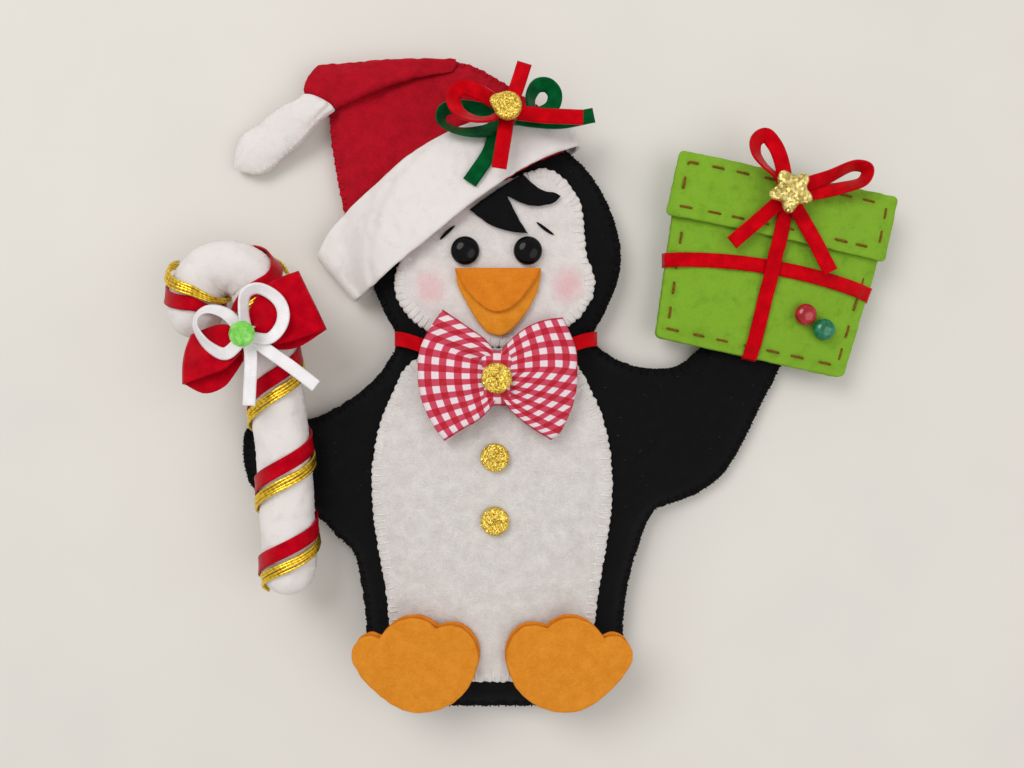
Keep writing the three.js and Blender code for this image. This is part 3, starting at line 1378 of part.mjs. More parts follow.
// A band wound round the cane as one unbroken strip: each row of the table is a count of turns and
// the share of the cane's length reached. It is drawn in on the inside of the hook and swings back
// over the hook's end.
const windTurnShares = [[-0.28, 0.055], [0, 0.109], [1, 0.294], [2, 0.4925], [3, 0.697], [3.25, 0.735],
  [3.5, 0.825], [3.75, 0.926], [4, 0.925], [4.3, 0.9]];
function caneWinding({ name, material, width, thickness, setBack, hookSetBack, overHook, section }) {
  const perTurn = 20;
  const first = windTurnShares[0][0];
  const last = windTurnShares.at(-1)[0];
  const count = Math.round((last - first) * perTurn);
  const onHook = (distance) => ease(hookLiftStart, hookLiftEnd, distance);
  const distanceAt = (turns) => {
    const distance = caneLength * readAt(windTurnShares, turns);
    return distance - mix(setBack, hookSetBack, onHook(distance));
  };
  const at = (turns, offset) => canePoint(distanceAt(turns), 90 + 360 * turns, offset);
  const rings = [];
  for (let i = 0; i <= count; i += 1) {
    const turns = mix(first, last, i / count);
    const hooked = onHook(distanceAt(turns));
    const inside = Math.max(0, Math.cos((90 + 360 * turns) * degree));
    const breadth = width * (1 - hookPinchShare * inside * hooked);
    const foot = caneWindGap + overHook * hooked;
    const point = at(turns, foot);
    const outward = at(turns, foot + thickness).sub(point).normalize();
    const nudge = 0.2 / perTurn;
    const along = at(turns + nudge, foot).sub(at(turns - nudge, foot)).normalize();
    const across = new THREE.Vector3().crossVectors(outward, along).normalize();
    rings.push(section.map(([a, b]) => point.clone()
      .addScaledVector(across, a * breadth)
      .addScaledVector(outward, b * thickness)));
  }
  let least = Infinity;
  rings.forEach((ring, i) => {
    for (let j = i + perTurn / 2; j < rings.length; j += 1) {
      for (const a of ring) for (const b of rings[j]) least = Math.min(least, a.distanceTo(b));
    }
  });
  console.log(`${name}: least gap to itself ${least.toFixed(2)} mm, asked ${windLeastGap} mm`);
  addPiece(name, loft(rings), material);
}

const whiteLoopShares = [
  [[0.03, 0.06], [-0.03, 0.5], [0.02, 0.82], [0.22, 0.92], [0.48, 0.83], [0.68, 0.63], [0.74, 0.38],
    [0.66, 0.12], [0.45, -0.08], [0.06, -0.03]],
  [[-0.05, 0.04], [-0.4, 0.42], [-0.75, 0.5], [-0.95, 0.38], [-1, 0.2], [-0.9, -0.04], [-0.7, -0.26],
    [-0.42, -0.38], [-0.05, -0.05]],
];
const whiteTailShares = [
  [[0.06, -0.22], [0.04, -0.95]],
  [[0.26, -0.19], [0.63, -0.45], [0.94, -0.69]],
];
function addCaneBows() {
  const level = caneMiddle + caneHalfHeight + windAllowance + satinThickness + windGap;
  const flat = () => level;
  const loops = [27, 209].map((turn) => bowLoop({
    x: caneBowX,
    y: caneBowY,
    turn,
    length: caneBowLength,
    endWidth: caneBowEndWidth,
    knotWidth: caneBowKnotWidth,
    rise: caneBowRise,
    thickness: satinThickness,
    base: flat,
    columns: 4,
  }));
  const knotTop = level + caneBowRise + satinThickness;
  const knotFoot = seatHeight(caneFeltTop, caneBowX, caneBowY, knotRadius * 0.35);
  const half = (knotTop - knotFoot) / 2;
  const middle = knot(caneBowX, caneBowY, knotFoot + half, knotRadius, knotRadius, half);
  addPiece('cane_bow_red', fuse([...loops, middle]), redSatin());

  const whiteSeat = knotTop + trimGap;
  const curlHeight = narrowRibbonWidth * Math.sin(curlTilt * degree) + satinThickness;
  const tails = whiteTailShares.map((shares) => shares.map(([a, b]) => [
    (a * whiteTailLength) / whiteBowSpan,
    (b * whiteTailLength) / whiteBowSpan,
  ]));
  const white = satinBow({
    x: caneBowX + whiteBowShift,
    y: caneBowY,
    span: whiteBowSpan,
    width: narrowRibbonWidth,
    surface: () => whiteSeat,
    seat: whiteSeat,
    droop: 0,
    loops: whiteLoopShares,
    tails,
    knotHeight: curlHeight,
  });
  addPiece('cane_bow_white', white, whiteSatin());
  const gem = addPiece('cane_gem', domed(caneGemRadius, caneGemHeight, 0.4, 12), greenGem());
  gem.position.set(caneBowX + whiteBowShift, caneBowY, whiteSeat + curlHeight + satinThickness + trimGap);
}

addBody();
addFaceAndBelly();
addThreads();
addHat();
addTail();
addTip();
addHair();
addBeak();
addEyes();
addBrow('brow_left', leftBrowX, leftBrowY, leftBrowLength, leftBrowTurn);
addBrow('brow_right', rightBrowX, rightBrowY, rightBrowLength, rightBrowTurn);
addFoot('left', leftFootX, 1);
addFoot('right', rightFootX, -1);
addNeckRibbon();
addBowTie();
addHatTrims();
addGift();
addCane();
caneWinding({
  name: 'cane_ribbon_wrap',
  material: redSatin(),
  width: satinWidth,
  thickness: satinThickness,
  setBack: 0,
  hookSetBack: 0,
  overHook: 0,
  section: [[-0.5, 0], [0.5, 0], [0.5, 1], [-0.5, 1]],
});
caneWinding({
  name: 'cane_gold_cord',
  material: goldCord(),
  width: goldCordWidth,
  thickness: goldCordThickness,
  setBack: goldCordOffset,
  hookSetBack: goldHookOffset,
  overHook: satinThickness + windGap,
  section: [[-0.5, 0.15], [0, 0], [0.5, 0.15], [0.5, 0.85], [0, 1], [-0.5, 0.85]],
});
addCaneBows();

export default penguin;
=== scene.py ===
import json
import math

import bpy
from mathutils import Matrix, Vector
import numpy as np
from mathutils.geometry import delaunay_2d_cdt

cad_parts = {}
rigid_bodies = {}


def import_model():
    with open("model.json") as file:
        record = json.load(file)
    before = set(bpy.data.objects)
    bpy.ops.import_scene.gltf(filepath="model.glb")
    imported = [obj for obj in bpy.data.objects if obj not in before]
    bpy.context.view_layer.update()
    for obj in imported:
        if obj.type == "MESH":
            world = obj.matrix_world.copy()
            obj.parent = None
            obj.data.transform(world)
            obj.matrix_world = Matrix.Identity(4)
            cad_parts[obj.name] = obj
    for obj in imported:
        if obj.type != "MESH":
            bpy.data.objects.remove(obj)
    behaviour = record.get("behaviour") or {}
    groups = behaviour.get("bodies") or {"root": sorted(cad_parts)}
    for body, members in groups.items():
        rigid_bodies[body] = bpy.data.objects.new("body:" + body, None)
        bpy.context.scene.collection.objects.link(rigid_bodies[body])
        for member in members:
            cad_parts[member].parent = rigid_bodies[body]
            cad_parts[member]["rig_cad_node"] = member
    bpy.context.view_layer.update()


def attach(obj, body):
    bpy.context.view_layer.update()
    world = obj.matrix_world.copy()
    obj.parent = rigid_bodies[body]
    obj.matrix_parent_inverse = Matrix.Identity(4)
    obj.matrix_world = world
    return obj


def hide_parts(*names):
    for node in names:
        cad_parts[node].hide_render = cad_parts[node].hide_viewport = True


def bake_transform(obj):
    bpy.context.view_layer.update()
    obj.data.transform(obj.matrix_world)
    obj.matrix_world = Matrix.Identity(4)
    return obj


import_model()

mm = 0.001  # every shape below is worked out in millimetres
degree = math.pi / 180
startup = ("Cube", "Light", "Camera")  # what a new Blender file opens with
for spare in [o for o in bpy.data.objects if o.name in startup and "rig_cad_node" not in o]:
    bpy.data.objects.remove(spare)

goods = {  # sheet goods and the gaps between them
    "felt": 1.4,
    "satin": 0.5,
    "satinWidth": 4.1,
    "seamGap": 0.3,
    "layerGap": 0.4,
    "trimGap": 0.35,
    "hatGap": 0.92,
    "thread": 0.24,
}
felt = goods["felt"]


# Camera, floor and light

view = {"x": 5.0, "y": 40.2, "height": 300, "lens": 35.68}
cameraData = bpy.data.cameras.new("camera")
cameraData.lens = view["lens"]
cameraData.sensor_width = 36
camera = bpy.data.objects.new("camera", cameraData)
camera.location = (view["x"] * mm, view["y"] * mm, view["height"] * mm)
bpy.context.scene.collection.objects.link(camera)
bpy.context.scene.camera = camera
bpy.context.scene.view_settings.view_transform = "Standard"

lamps = [  # name, spot in metres, size in metres, watts
    ("windowLight", (-0.42, 0.5, 0.85), 0.6, 4.6),
    ("roomLight", (0.55, -0.15, 0.9), 0.9, 3.0),
]
for name, spot, size, watts in lamps:
    lampData = bpy.data.lights.new(name, "AREA")
    lampData.shape = "DISK"
    lampData.size = size
    lampData.energy = watts
    lamp = bpy.data.objects.new(name, lampData)
    lamp.location = spot
    aim = np.array((view["x"] * mm, view["y"] * mm, 0)) - np.array(spot)
    lamp.rotation_mode = "QUATERNION"
    lamp.rotation_quaternion = Vector(aim).to_track_quat("-Z", "Y")
    bpy.context.scene.collection.objects.link(lamp)

room = {"colour": (1, 0.985, 0.965, 1), "strength": 0.58}
world = bpy.data.worlds.new("room")
world.use_nodes = True
world.node_tree.nodes["Background"].inputs["Color"].default_value = room["colour"]
world.node_tree.nodes["Background"].inputs["Strength"].default_value = room["strength"]
bpy.context.scene.world = world
print("camera and light are set")


# Small number helpers

def ease(start, end, value):
    share = np.clip((value - start) / (end - start), 0, 1)
    return share * share * (3 - 2 * share)


def mix(a, b, share):
    return a + (b - a) * share


def softMax(a, b, width):
    share = np.clip(0.5 + (a - b) / (2 * width), 0, 1)
    return mix(b, a, share) + width * share * (1 - share)


def unit(vectors):
    return vectors / np.maximum(np.linalg.norm(vectors, axis=-1, keepdims=True), 1e-9)


# A gentle, seeded unevenness with about the given wave length
def ripples(x, y, wave, seed, waves=18):
    rng = np.random.default_rng(seed)
    turn = rng.uniform(0, 2 * math.pi, waves)
    rate = 2 * math.pi / (wave * rng.uniform(0.7, 1.6, waves))
    start = rng.uniform(0, 2 * math.pi, waves)
    total = np.zeros(np.shape(x))
    for a, k, s in zip(turn, rate, start):
        total = total + np.cos(k * (x * math.cos(a) + y * math.sin(a)) + s)
    return total / math.sqrt(waves / 2)


# Lines and outlines

def place(shares, x, y, spanX, spanY, turn=0):
    c, s = math.cos(turn * degree), math.sin(turn * degree)
    return (np.asarray(shares, float) * (spanX, spanY)) @ np.array([[c, s], [-s, c]]) + (x, y)


def mirrored(shares):
    return [(-x, y) for x, y in shares][::-1]


def runOf(line):  # how far along the line each of its points lies
    return np.r_[0, np.cumsum(np.linalg.norm(np.diff(line, axis=0), axis=1))]


def readLine(stops, run, line):
    return np.column_stack([np.interp(stops, run, line[:, k]) for k in range(line.shape[1])])


def evenly(line, step):
    run = runOf(line)
    return readLine(np.linspace(0, run[-1], max(1, round(run[-1] / step)) + 1), run, line)


# A smooth curve through a few points, sampled at an even step
def smoothLine(points, step, closed=False):
    p = np.asarray(points, float)
    ends = (p[-1:], p[:2]) if closed else (2 * p[:1] - p[1:2], 2 * p[-1:] - p[-2:-1])
    q = np.vstack([ends[0], p, ends[1]])
    gap = np.sqrt(np.maximum(np.linalg.norm(np.diff(q, axis=0), axis=1), 1e-6))
    t = np.linspace(0, 1, 24, endpoint=False)[:, None]
    stretches = []
    for i in range(1, len(q) - 2):
        a, b, c = gap[i - 1:i + 2]
        rise = b * ((q[i] - q[i - 1]) / a - (q[i + 1] - q[i - 1]) / (a + b) + (q[i + 1] - q[i]) / b)
        fall = b * ((q[i + 1] - q[i]) / b - (q[i + 2] - q[i]) / (b + c) + (q[i + 2] - q[i + 1]) / c)
        stretches.append(q[i] * (2 * t**3 - 3 * t**2 + 1) + rise * (t**3 - 2 * t**2 + t)
                         + q[i + 1] * (3 * t**2 - 2 * t**3) + fall * (t**3 - t**2))
    stretches.append(q[-2:-1])
    line = evenly(np.vstack(stretches), step)
    return line[:-1] if closed else line


# A closed outline made of smooth stretches that meet at corners, counter-clockwise
def outlineOf(stretches, step=0.7):
    if len(stretches) == 1:
        outline = smoothLine(stretches[0], step, True)
    else:
        outline = np.vstack([smoothLine(stretch, step)[:-1] for stretch in stretches])
    x, y = outline.T
    area = (x * np.roll(y, -1) - np.roll(x, -1) * y).sum()
    return outline if area > 0 else outline[::-1]


def inwards(outline):
    along = unit(np.roll(outline, -1, 0) - np.roll(outline, 1, 0))
    return np.column_stack([-along[:, 1], along[:, 0]])


# Distance to an outline: above 0 inside it and below 0 outside
def edgeDistance(outline, x, y):
    spots = np.column_stack([np.ravel(x), np.ravel(y)])
    a, b = outline, np.roll(outline, -1, 0)
    run = b - a
    square = (run**2).sum(1)
    slope = run[:, 0] / np.where(run[:, 1] == 0, 1e-12, run[:, 1])
    found = np.empty(len(spots))
    for first in range(0, len(spots), 1500):
        px = spots[first:first + 1500, :1]
        py = spots[first:first + 1500, 1:]
        share = np.clip(((px - a[:, 0]) * run[:, 0] + (py - a[:, 1]) * run[:, 1]) / square, 0, 1)
        gapX = px - a[:, 0] - share * run[:, 0]
        gapY = py - a[:, 1] - share * run[:, 1]
        away = np.sqrt((gapX**2 + gapY**2).min(1))
        crossed = ((a[:, 1] > py) != (b[:, 1] > py)) & (px < slope * (py - a[:, 1]) + a[:, 0])
        found[first:first + 1500] = np.where(crossed.sum(1) % 2 == 1, away, -away)
    return found.reshape(np.shape(x))


# Reads a grid of heights smoothly between its points
def readGrid(grid, x0, y0, cell):
    rows, columns = grid.shape

    def weights(t):
        return (-0.5 * t + t**2 - 0.5 * t**3, 1 - 2.5 * t**2 + 1.5 * t**3,
                0.5 * t + 2 * t**2 - 1.5 * t**3, -0.5 * t**2 + 0.5 * t**3)

    def read(x, y):
        u = np.clip((np.asarray(x) - x0) / cell, 1, columns - 3.001)
        v = np.clip((np.asarray(y) - y0) / cell, 1, rows - 3.001)
        i, j = np.floor(u).astype(int), np.floor(v).astype(int)
        total = 0
        for dj, wy in zip((-1, 0, 1, 2), weights(v - j)):
            for di, wx in zip((-1, 0, 1, 2), weights(u - i)):
                total = total + wx * wy * grid[j + dj, i + di]
        return total
    return read


puffing = {"rim": 3.6, "softness": 7, "cell": 1.0, "passes": 260}


# Distance to an outline, and the rise of a skin that is held along it and blown up
def stuffed(outline, margin=5):
    cell = puffing["cell"]
    low, high = outline.min(0) - margin, outline.max(0) + margin
    xs = np.arange(low[0], high[0] + cell, cell)
    ys = np.arange(low[1], high[1] + cell, cell)
    gridX, gridY = np.meshgrid(xs, ys)
    coarse = outline[::2]
    away = edgeDistance(coarse, gridX, gridY)
    inside = away > 0
    inside[[0, -1]] = False
    inside[:, [0, -1]] = False
    even = (np.add.outer(np.arange(len(ys)), np.arange(len(xs))) % 2 == 0) & inside
    odd = inside & ~even
    height = np.zeros(gridX.shape)
    push = 2 / (1 + math.sin(math.pi / min(gridX.shape)))
    for _ in range(puffing["passes"]):
        for half in (even, odd):
            around = (np.roll(height, 1, 0) + np.roll(height, -1, 0)
                      + np.roll(height, 1, 1) + np.roll(height, -1, 1))
            height[half] += push * ((around[half] + cell**2) / 4 - height[half])
    distance = readGrid(away, xs[0], ys[0], cell)
    skin = readGrid(height, xs[0], ys[0], cell)
    soft = puffing["softness"]

    def rise(x, y):
        blown = np.sqrt(2 * np.maximum(skin(x, y), 0) + soft**2) - soft
        return blown * ease(0, puffing["rim"], distance(x, y))
    return distance, rise


# Meshes

def makeMesh(name, parts, skin, slot, *nodes, body="ornament", smooth=True):
    mesh = bpy.data.meshes.new(name)
    mesh.from_pydata((np.asarray(parts[0]) * mm).tolist(), [], [list(map(int, f)) for f in parts[1]])
    mesh.validate()
    mesh.update()
    if len(parts) > 2:  # the place of each point on the flat cloth
        layer = mesh.attributes.new("cloth", "FLOAT_VECTOR", "POINT")
        layer.data.foreach_set("vector", np.asarray(parts[2], np.float32).ravel())
    mesh.polygons.foreach_set("use_smooth", [smooth] * len(mesh.polygons))
    mesh.materials.append(skins[skin])
    piece = bpy.data.objects.new(name, mesh)
    bpy.context.scene.collection.objects.link(piece)
    if body:
        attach(piece, body)
    if nodes:
        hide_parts(*nodes)
    return piece


# A flat shape filled with triangles: rings close to its edge and a lattice inside
def fillShape(outline, step, rings):
    spots = [outline]
    normal = inwards(outline)
    for ring in rings:
        moved = outline + normal * ring
        spots.append(moved[edgeDistance(outline, *moved.T) > ring * 0.86])
    low, high = outline.min(0), outline.max(0)
    rowStep = step * math.sqrt(3) / 2
    lattice = []
    for row, y in enumerate(np.arange(low[1], high[1], rowStep)):
        xs = np.arange(low[0] + (row % 2) * step / 2, high[0], step)
        lattice.append(np.column_stack([xs, np.full(len(xs), y)]))
    lattice = np.vstack(lattice)
    reach = rings[-1] + step * 0.55
    spots.append(lattice[edgeDistance(outline, *lattice.T) > reach])
    points = np.vstack(spots)
    count = len(outline)
    loop = [list(range(count))]
    made = delaunay_2d_cdt([tuple(p) for p in points], [], loop, 1, 1e-5)
    found = np.array([tuple(v) for v in made[0]])
    rimOf = {}
    for index, origins in enumerate(made[3]):
        for origin in origins:
            if origin < count:
                rimOf[origin] = index
    rim = [rimOf[i] for i in range(count)]
    triangles = np.array([f for f in made[2] if len(f) == 3])
    inner = np.maximum(edgeDistance(outline, *found.T), 0)
    inner[rim] = 0
    return found, triangles, rim, inner


# A filled outline closed between the heights of its top and its foot
def slabParts(points, triangles, rim, top, foot):
    count = len(points)
    faces = [tuple(t) for t in triangles] + [(c + count, b + count, a + count) for a, b, c in triangles]
    faces += [(b, a, a + count, b + count) for a, b in zip(rim, rim[1:] + rim[:1])]
    return np.vstack([np.column_stack([points, top]), np.column_stack([points, foot])]), faces


edgeRings = (0.1, 0.3, 0.65, 1.15, 1.8, 2.6)
edgeSoftness = 0.22  # how far in from the cut the edge of felt is thinned


# A felt sheet with a softened cut edge, between under(x, y) and one felt thickness above it
def feltSheet(name, outline, under, skin, slot, *nodes, relief=None, step=1.4, rings=edgeRings):
    points, triangles, rim, inner = fillShape(outline, step, rings)
    x, y = points.T
    half = felt * (0.5 - 0.25 * np.exp(-inner / edgeSoftness))
    middle = under(x, y) + felt / 2
    lift = relief(x, y, inner) if relief else 0
    parts = slabParts(points, triangles, rim, middle + half + lift, middle - half)
    return makeMesh(name, parts, skin, slot, *nodes)


# Round threads: each path becomes a closed tube
def tubeParts(paths, radius, sides=6):
    points, faces = [], []
    turns = np.arange(sides) * 2 * math.pi / sides
    for number, path in enumerate(paths):
        path = np.asarray(path, float)
        along = unit(np.gradient(path, axis=0))
        guide = np.where(np.abs(along[:, 2:]) > 0.9, (1.0, 0, 0), (0, 0, 1.0))
        side = unit(np.cross(along, guide))
        up = np.cross(side, along)
        size = np.broadcast_to(radius[number] if isinstance(radius, list) else radius, len(path))
        ring = (path[:, None] + size[:, None, None]
                * (side[:, None] * np.cos(turns)[:, None] + up[:, None] * np.sin(turns)[:, None]))
        start = sum(len(p) for p in points)
        points.append(ring.reshape(-1, 3))
        points.append(path[[0, -1]])
        last = len(path) - 1
        for i in range(last):
            for j in range(sides):
                k = (j + 1) % sides
                a, b = start + i * sides, start + (i + 1) * sides
                faces.append((a + k, a + j, b + j, b + k))
        caps = start + len(path) * sides
        for j in range(sides):
            k = (j + 1) % sides
            faces.append((caps, start + j, start + k))
            faces.append((caps + 1, start + last * sides + k, start + last * sides + j))
    return np.vstack(points), faces


def addTubes(name, paths, radius, skin, slot, *nodes, sides=6, body="ornament"):
    makeMesh(name, tubeParts(paths, radius, sides), skin, slot, *nodes, body=body)


# A closed strip of cloth or ribbon between two grids of points
def stripFaces(rows, columns, wrap=False):
    faces = []
    size = rows * columns

    def at(side, i, j):
        return side * size + (i % rows) * columns + j
    for i in range(rows if wrap else rows - 1):
        for j in range(columns - 1):
            faces.append((at(0, i, j), at(0, i, j + 1), at(0, i + 1, j + 1), at(0, i + 1, j)))
            faces.append((at(1, i, j), at(1, i + 1, j), at(1, i + 1, j + 1), at(1, i, j + 1)))
        faces.append((at(0, i, 0), at(0, i + 1, 0), at(1, i + 1, 0), at(1, i, 0)))
        j = columns - 1
        faces.append((at(0, i, j), at(1, i, j), at(1, i + 1, j), at(0, i + 1, j)))
    if not wrap:
        for j in range(columns - 1):
            i = rows - 1
            faces.append((at(0, 0, j), at(1, 0, j), at(1, 0, j + 1), at(0, 0, j + 1)))
            faces.append((at(0, i, j), at(0, i, j + 1), at(1, i, j + 1), at(1, i, j)))
    return faces


# A grid of points given the thickness of its cloth, along its own normals
def clothParts(grid, thickness, wrap=False, cloth=None):
    rows, columns = grid.shape[:2]
    along = np.roll(grid, -1, 0) - np.roll(grid, 1, 0) if wrap else np.gradient(grid, axis=0)
    normal = unit(np.cross(along, np.gradient(grid, axis=1)))
    half = normal * np.broadcast_to(thickness, (rows, columns))[..., None] / 2
    points = np.vstack([(grid - half).reshape(-1, 3), (grid + half).reshape(-1, 3)])
    if cloth is None:
        runs = np.linalg.norm(np.diff(grid, axis=0), axis=2).mean(1)
        spans = np.linalg.norm(np.diff(grid, axis=1), axis=2).mean(0)
        cloth = np.zeros((rows, columns, 3))
        cloth[..., 0] = np.r_[0, np.cumsum(runs)][:, None]
        cloth[..., 1] = (np.r_[0, np.cumsum(spans)] - spans.sum() / 2)[None]
    flat = np.asarray(cloth).reshape(-1, 3)
    return points, stripFaces(rows, columns, wrap), np.vstack([flat, flat])


def joinParts(parts):
    faces, shift = [], 0
    for points, own, _ in parts:
        faces += [tuple(i + shift for i in face) for face in own]
        shift += len(points)
    return np.vstack([part[0] for part in parts]), faces, np.vstack([part[2] for part in parts])


# A ribbon along a line, its width laid along the across vectors, with a thicker selvage
def ribbonParts(line, across, width):
    share = np.linspace(-0.5, 0.5, 7)
    size = np.broadcast_to(width, len(line))
    grid = line[:, None] + across[:, None] * (share[None] * size[:, None])[..., None]
    selvage = 1 + 0.35 * (np.abs(share) > 0.4)
    cloth = np.zeros(grid.shape)
    cloth[..., 0] = runOf(line)[:, None]
    cloth[..., 1] = share[None] * size[:, None]
    return clothParts(grid, goods["satin"] * 0.8 * selvage[None], cloth=cloth)


# A body turned about an upright axis, from a profile in shares of its radius and height
def turnedParts(profile, size, x, y, z, segments=40, squeeze=None):
    profile = np.asarray(profile, float) * size
    angle = np.arange(segments) * 2 * math.pi / segments
    points = [(x, y, z + profile[0][1])]
    for radius, height in profile[1:-1]:
        reach = radius * (squeeze(angle) if squeeze else 1)
        points += list(zip(x + reach * np.cos(angle), y + reach * np.sin(angle),
                           np.full(segments, z + height)))
    points.append((x, y, z + profile[-1][1]))
    faces = []
    rows = len(profile) - 2
    for j in range(segments):
        k = (j + 1) % segments
        faces.append((0, 1 + k, 1 + j))
        for i in range(rows - 1):
            a, b = 1 + i * segments, 1 + (i + 1) * segments
            faces.append((a + j, a + k, b + k, b + j))
        last = 1 + (rows - 1) * segments
        faces.append((last + j, last + k, len(points) - 1))
    return np.array(points), faces


# Materials

def tint(red, green, blue):
    values = [v / 255 for v in (red, green, blue)]
    return tuple(v / 12.92 if v <= 0.04045 else ((v + 0.055) / 1.055) ** 2.4 for v in values) + (1,)


class Skin:  # a material and the few steps that build its nodes
    def __init__(self, name, **sockets):
        self.made = bpy.data.materials.new(name)
        self.made.use_nodes = True
        self.tree = self.made.node_tree
        self.surface = self.tree.nodes["Principled BSDF"]
        for socket, value in sockets.items():
            self.surface.inputs[socket.replace("_", " ")].default_value = value
        self.spot = None

    def add(self, kind, feeds=None, values=None, **settings):
        node = self.tree.nodes.new("ShaderNode" + kind)
        for key, value in settings.items():
            setattr(node, key, value)
        for key, value in (values or {}).items():
            node.inputs[key].default_value = value
        for key, source in (feeds or {}).items():
            self.tree.links.new(source, node.inputs[key])
        return node

    def millimetres(self):  # the place on the piece, in millimetres
        if self.spot is None:
            metres = self.add("TexCoord").outputs["Object"]
            self.spot = self.add("VectorMath", {0: metres}, {3: 1000}, operation="SCALE").outputs[0]
        return self.spot

    def cloth(self):  # along and across the strip, in millimetres
        return self.add("Attribute", attribute_name="cloth").outputs["Vector"]

    def noise(self, scale, detail=3, rough=0.6, bend=0.0, stretch=None, turn=0.0, source=None):
        spot = source or self.millimetres()
        if stretch:
            values = {"Rotation": (0, 0, turn), "Scale": stretch}
            spot = self.add("Mapping", {"Vector": spot}, values).outputs[0]
        values = {"Scale": scale, "Detail": detail, "Roughness": rough, "Distortion": bend}
        return self.add("TexNoise", {"Vector": spot}, values).outputs["Fac"]

    def math(self, operation, a, b=None, c=None):
        node = self.add("Math", operation=operation)
        for index, value in enumerate((a, b, c)):
            if value is None:
                continue
            if isinstance(value, (int, float)):
                node.inputs[index].default_value = value
            else:
                self.tree.links.new(value, node.inputs[index])
        return node.outputs[0]

    def total(self, rows):  # a weighted sum of several values
        result = None
        for source, weight in rows:
            part = self.math("MULTIPLY", source, weight)
            result = part if result is None else self.math("ADD", result, part)
        return result

    def reach(self, source, low, high, start=0.0, end=1.0):
        values = {"From Min": low, "From Max": high, "To Min": start, "To Max": end}
        node = self.add("MapRange", {"Value": source}, values, interpolation_type="SMOOTHSTEP")
        return node.outputs[0]

    def blend(self, share, first, second):
        node = self.add("Mix", data_type="RGBA")
        for index, value in ((0, share), (6, first), (7, second)):
            if isinstance(value, (int, float, tuple)):
                node.inputs[index].default_value = value
            else:
                self.tree.links.new(value, node.inputs[index])
        return node.outputs[2]

    def colour(self, source):
        self.tree.links.new(source, self.surface.inputs["Base Color"])

    def shade(self, source, low, high, deep, light):  # from deep to light as the source rises
        self.colour(self.blend(self.reach(source, low, high), deep, light))

    def bump(self, height, depth, strength=1.0):
        node = self.add("Bump", {"Height": height}, {"Strength": strength, "Distance": depth * mm})
        self.tree.links.new(node.outputs[0], self.surface.inputs["Normal"])


# Pressed felt: clouds, fine grain and crossing streaks of fibre
fibres = [(1.1, (1, 7.5, 3), 0.62), (1.2, (1, 8.5, 3), -0.95), (1.0, (1, 8.0, 3), 2.1)]  # scale, stretch, turn


def feltSkin(name, deep, light, sheen=0.2, lint=0.0, blush=(), cloudy=0.22):
    skin = Skin(name, Roughness=0.94, Sheen_Weight=sheen, Sheen_Roughness=0.55, Sheen_Tint=light,
                Specular_IOR_Level=0.18)
    clouds = skin.noise(0.3, 3, 0.62)
    grain = skin.noise(3.0, 5, 0.75, 0.6)
    first, second, third = [skin.noise(scale, 3, 0.65, 0.35, stretch, turn) for scale, stretch, turn in fibres]
    tone = skin.total([(clouds, cloudy), (grain, 0.34), (first, 0.17), (second, 0.15), (third, 0.12)])
    paint = skin.blend(skin.reach(tone, 0.36, 0.64), deep, light)
    if lint:
        streaks = {"Rotation": (0, 0, 0.7), "Scale": (0.3, 2.6, 1)}
        spot = skin.add("Mapping", {"Vector": skin.millimetres()}, streaks).outputs[0]
        cells = skin.add("TexVoronoi", {"Vector": spot}, {"Scale": 0.42, "Randomness": 1.0})
        strand = skin.reach(cells.outputs["Distance"], 0.03, 0.06, lint, 0.0)
        paint = skin.blend(strand, paint, (0.55, 0.53, 0.51, 1))
    for x, y, wide, high, depth in blush:
        spread = {"Location": (-x / wide, -y / high, 0), "Scale": (1 / wide, 1 / high, 0)}
        away = skin.add("Mapping", {"Vector": skin.millimetres()}, spread).outputs[0]
        length = skin.add("VectorMath", {0: away}, operation="LENGTH").outputs["Value"]
        soft = skin.math("ADD", length, skin.total([(skin.noise(0.5, 2), 0.5), (grain, 0.25)]))
        paint = skin.blend(skin.reach(soft, 0.55, 1.75, depth, 0.0), paint, tint(238, 140, 156))
    skin.colour(paint)
    skin.bump(skin.total([(grain, 0.5), (first, 0.35), (second, 0.3), (third, 0.3)]), 0.5, 0.75)
    return skin.made


# Woven satin: fine ribs along and across the strip
def satinSkin(name, deep, light, rough=0.34, ribs=3.2):
    skin = Skin(name, Roughness=rough, Sheen_Weight=0.05, Sheen_Roughness=0.4,
                Specular_IOR_Level=0.8, Specular_Tint=light, Sheen_Tint=light)
    cloth = skin.add("SeparateXYZ", {0: skin.cloth()})
    along, across = [skin.math("SINE", skin.math("MULTIPLY", cloth.outputs[axis], rate * 2 * math.pi))
                     for axis, rate in ((0, ribs), (1, 5.3))]
    clouds = skin.noise(0.3, 2, 0.5)
    weave = skin.total([(along, 0.1), (across, 0.05), (clouds, 0.6), (skin.noise(3.0, 2), 0.3)])
    skin.shade(weave, 0.3, 0.72, deep, light)
    skin.bump(skin.total([(along, 0.6), (across, 0.25)]), 0.05, 0.6)
    return skin.made


# Small-checked cotton: two sets of bands, deepest where they cross
cotton = {"check": 2.0, "threads": 3.4, "single": tint(204, 62, 90), "worn": tint(236, 206, 210)}


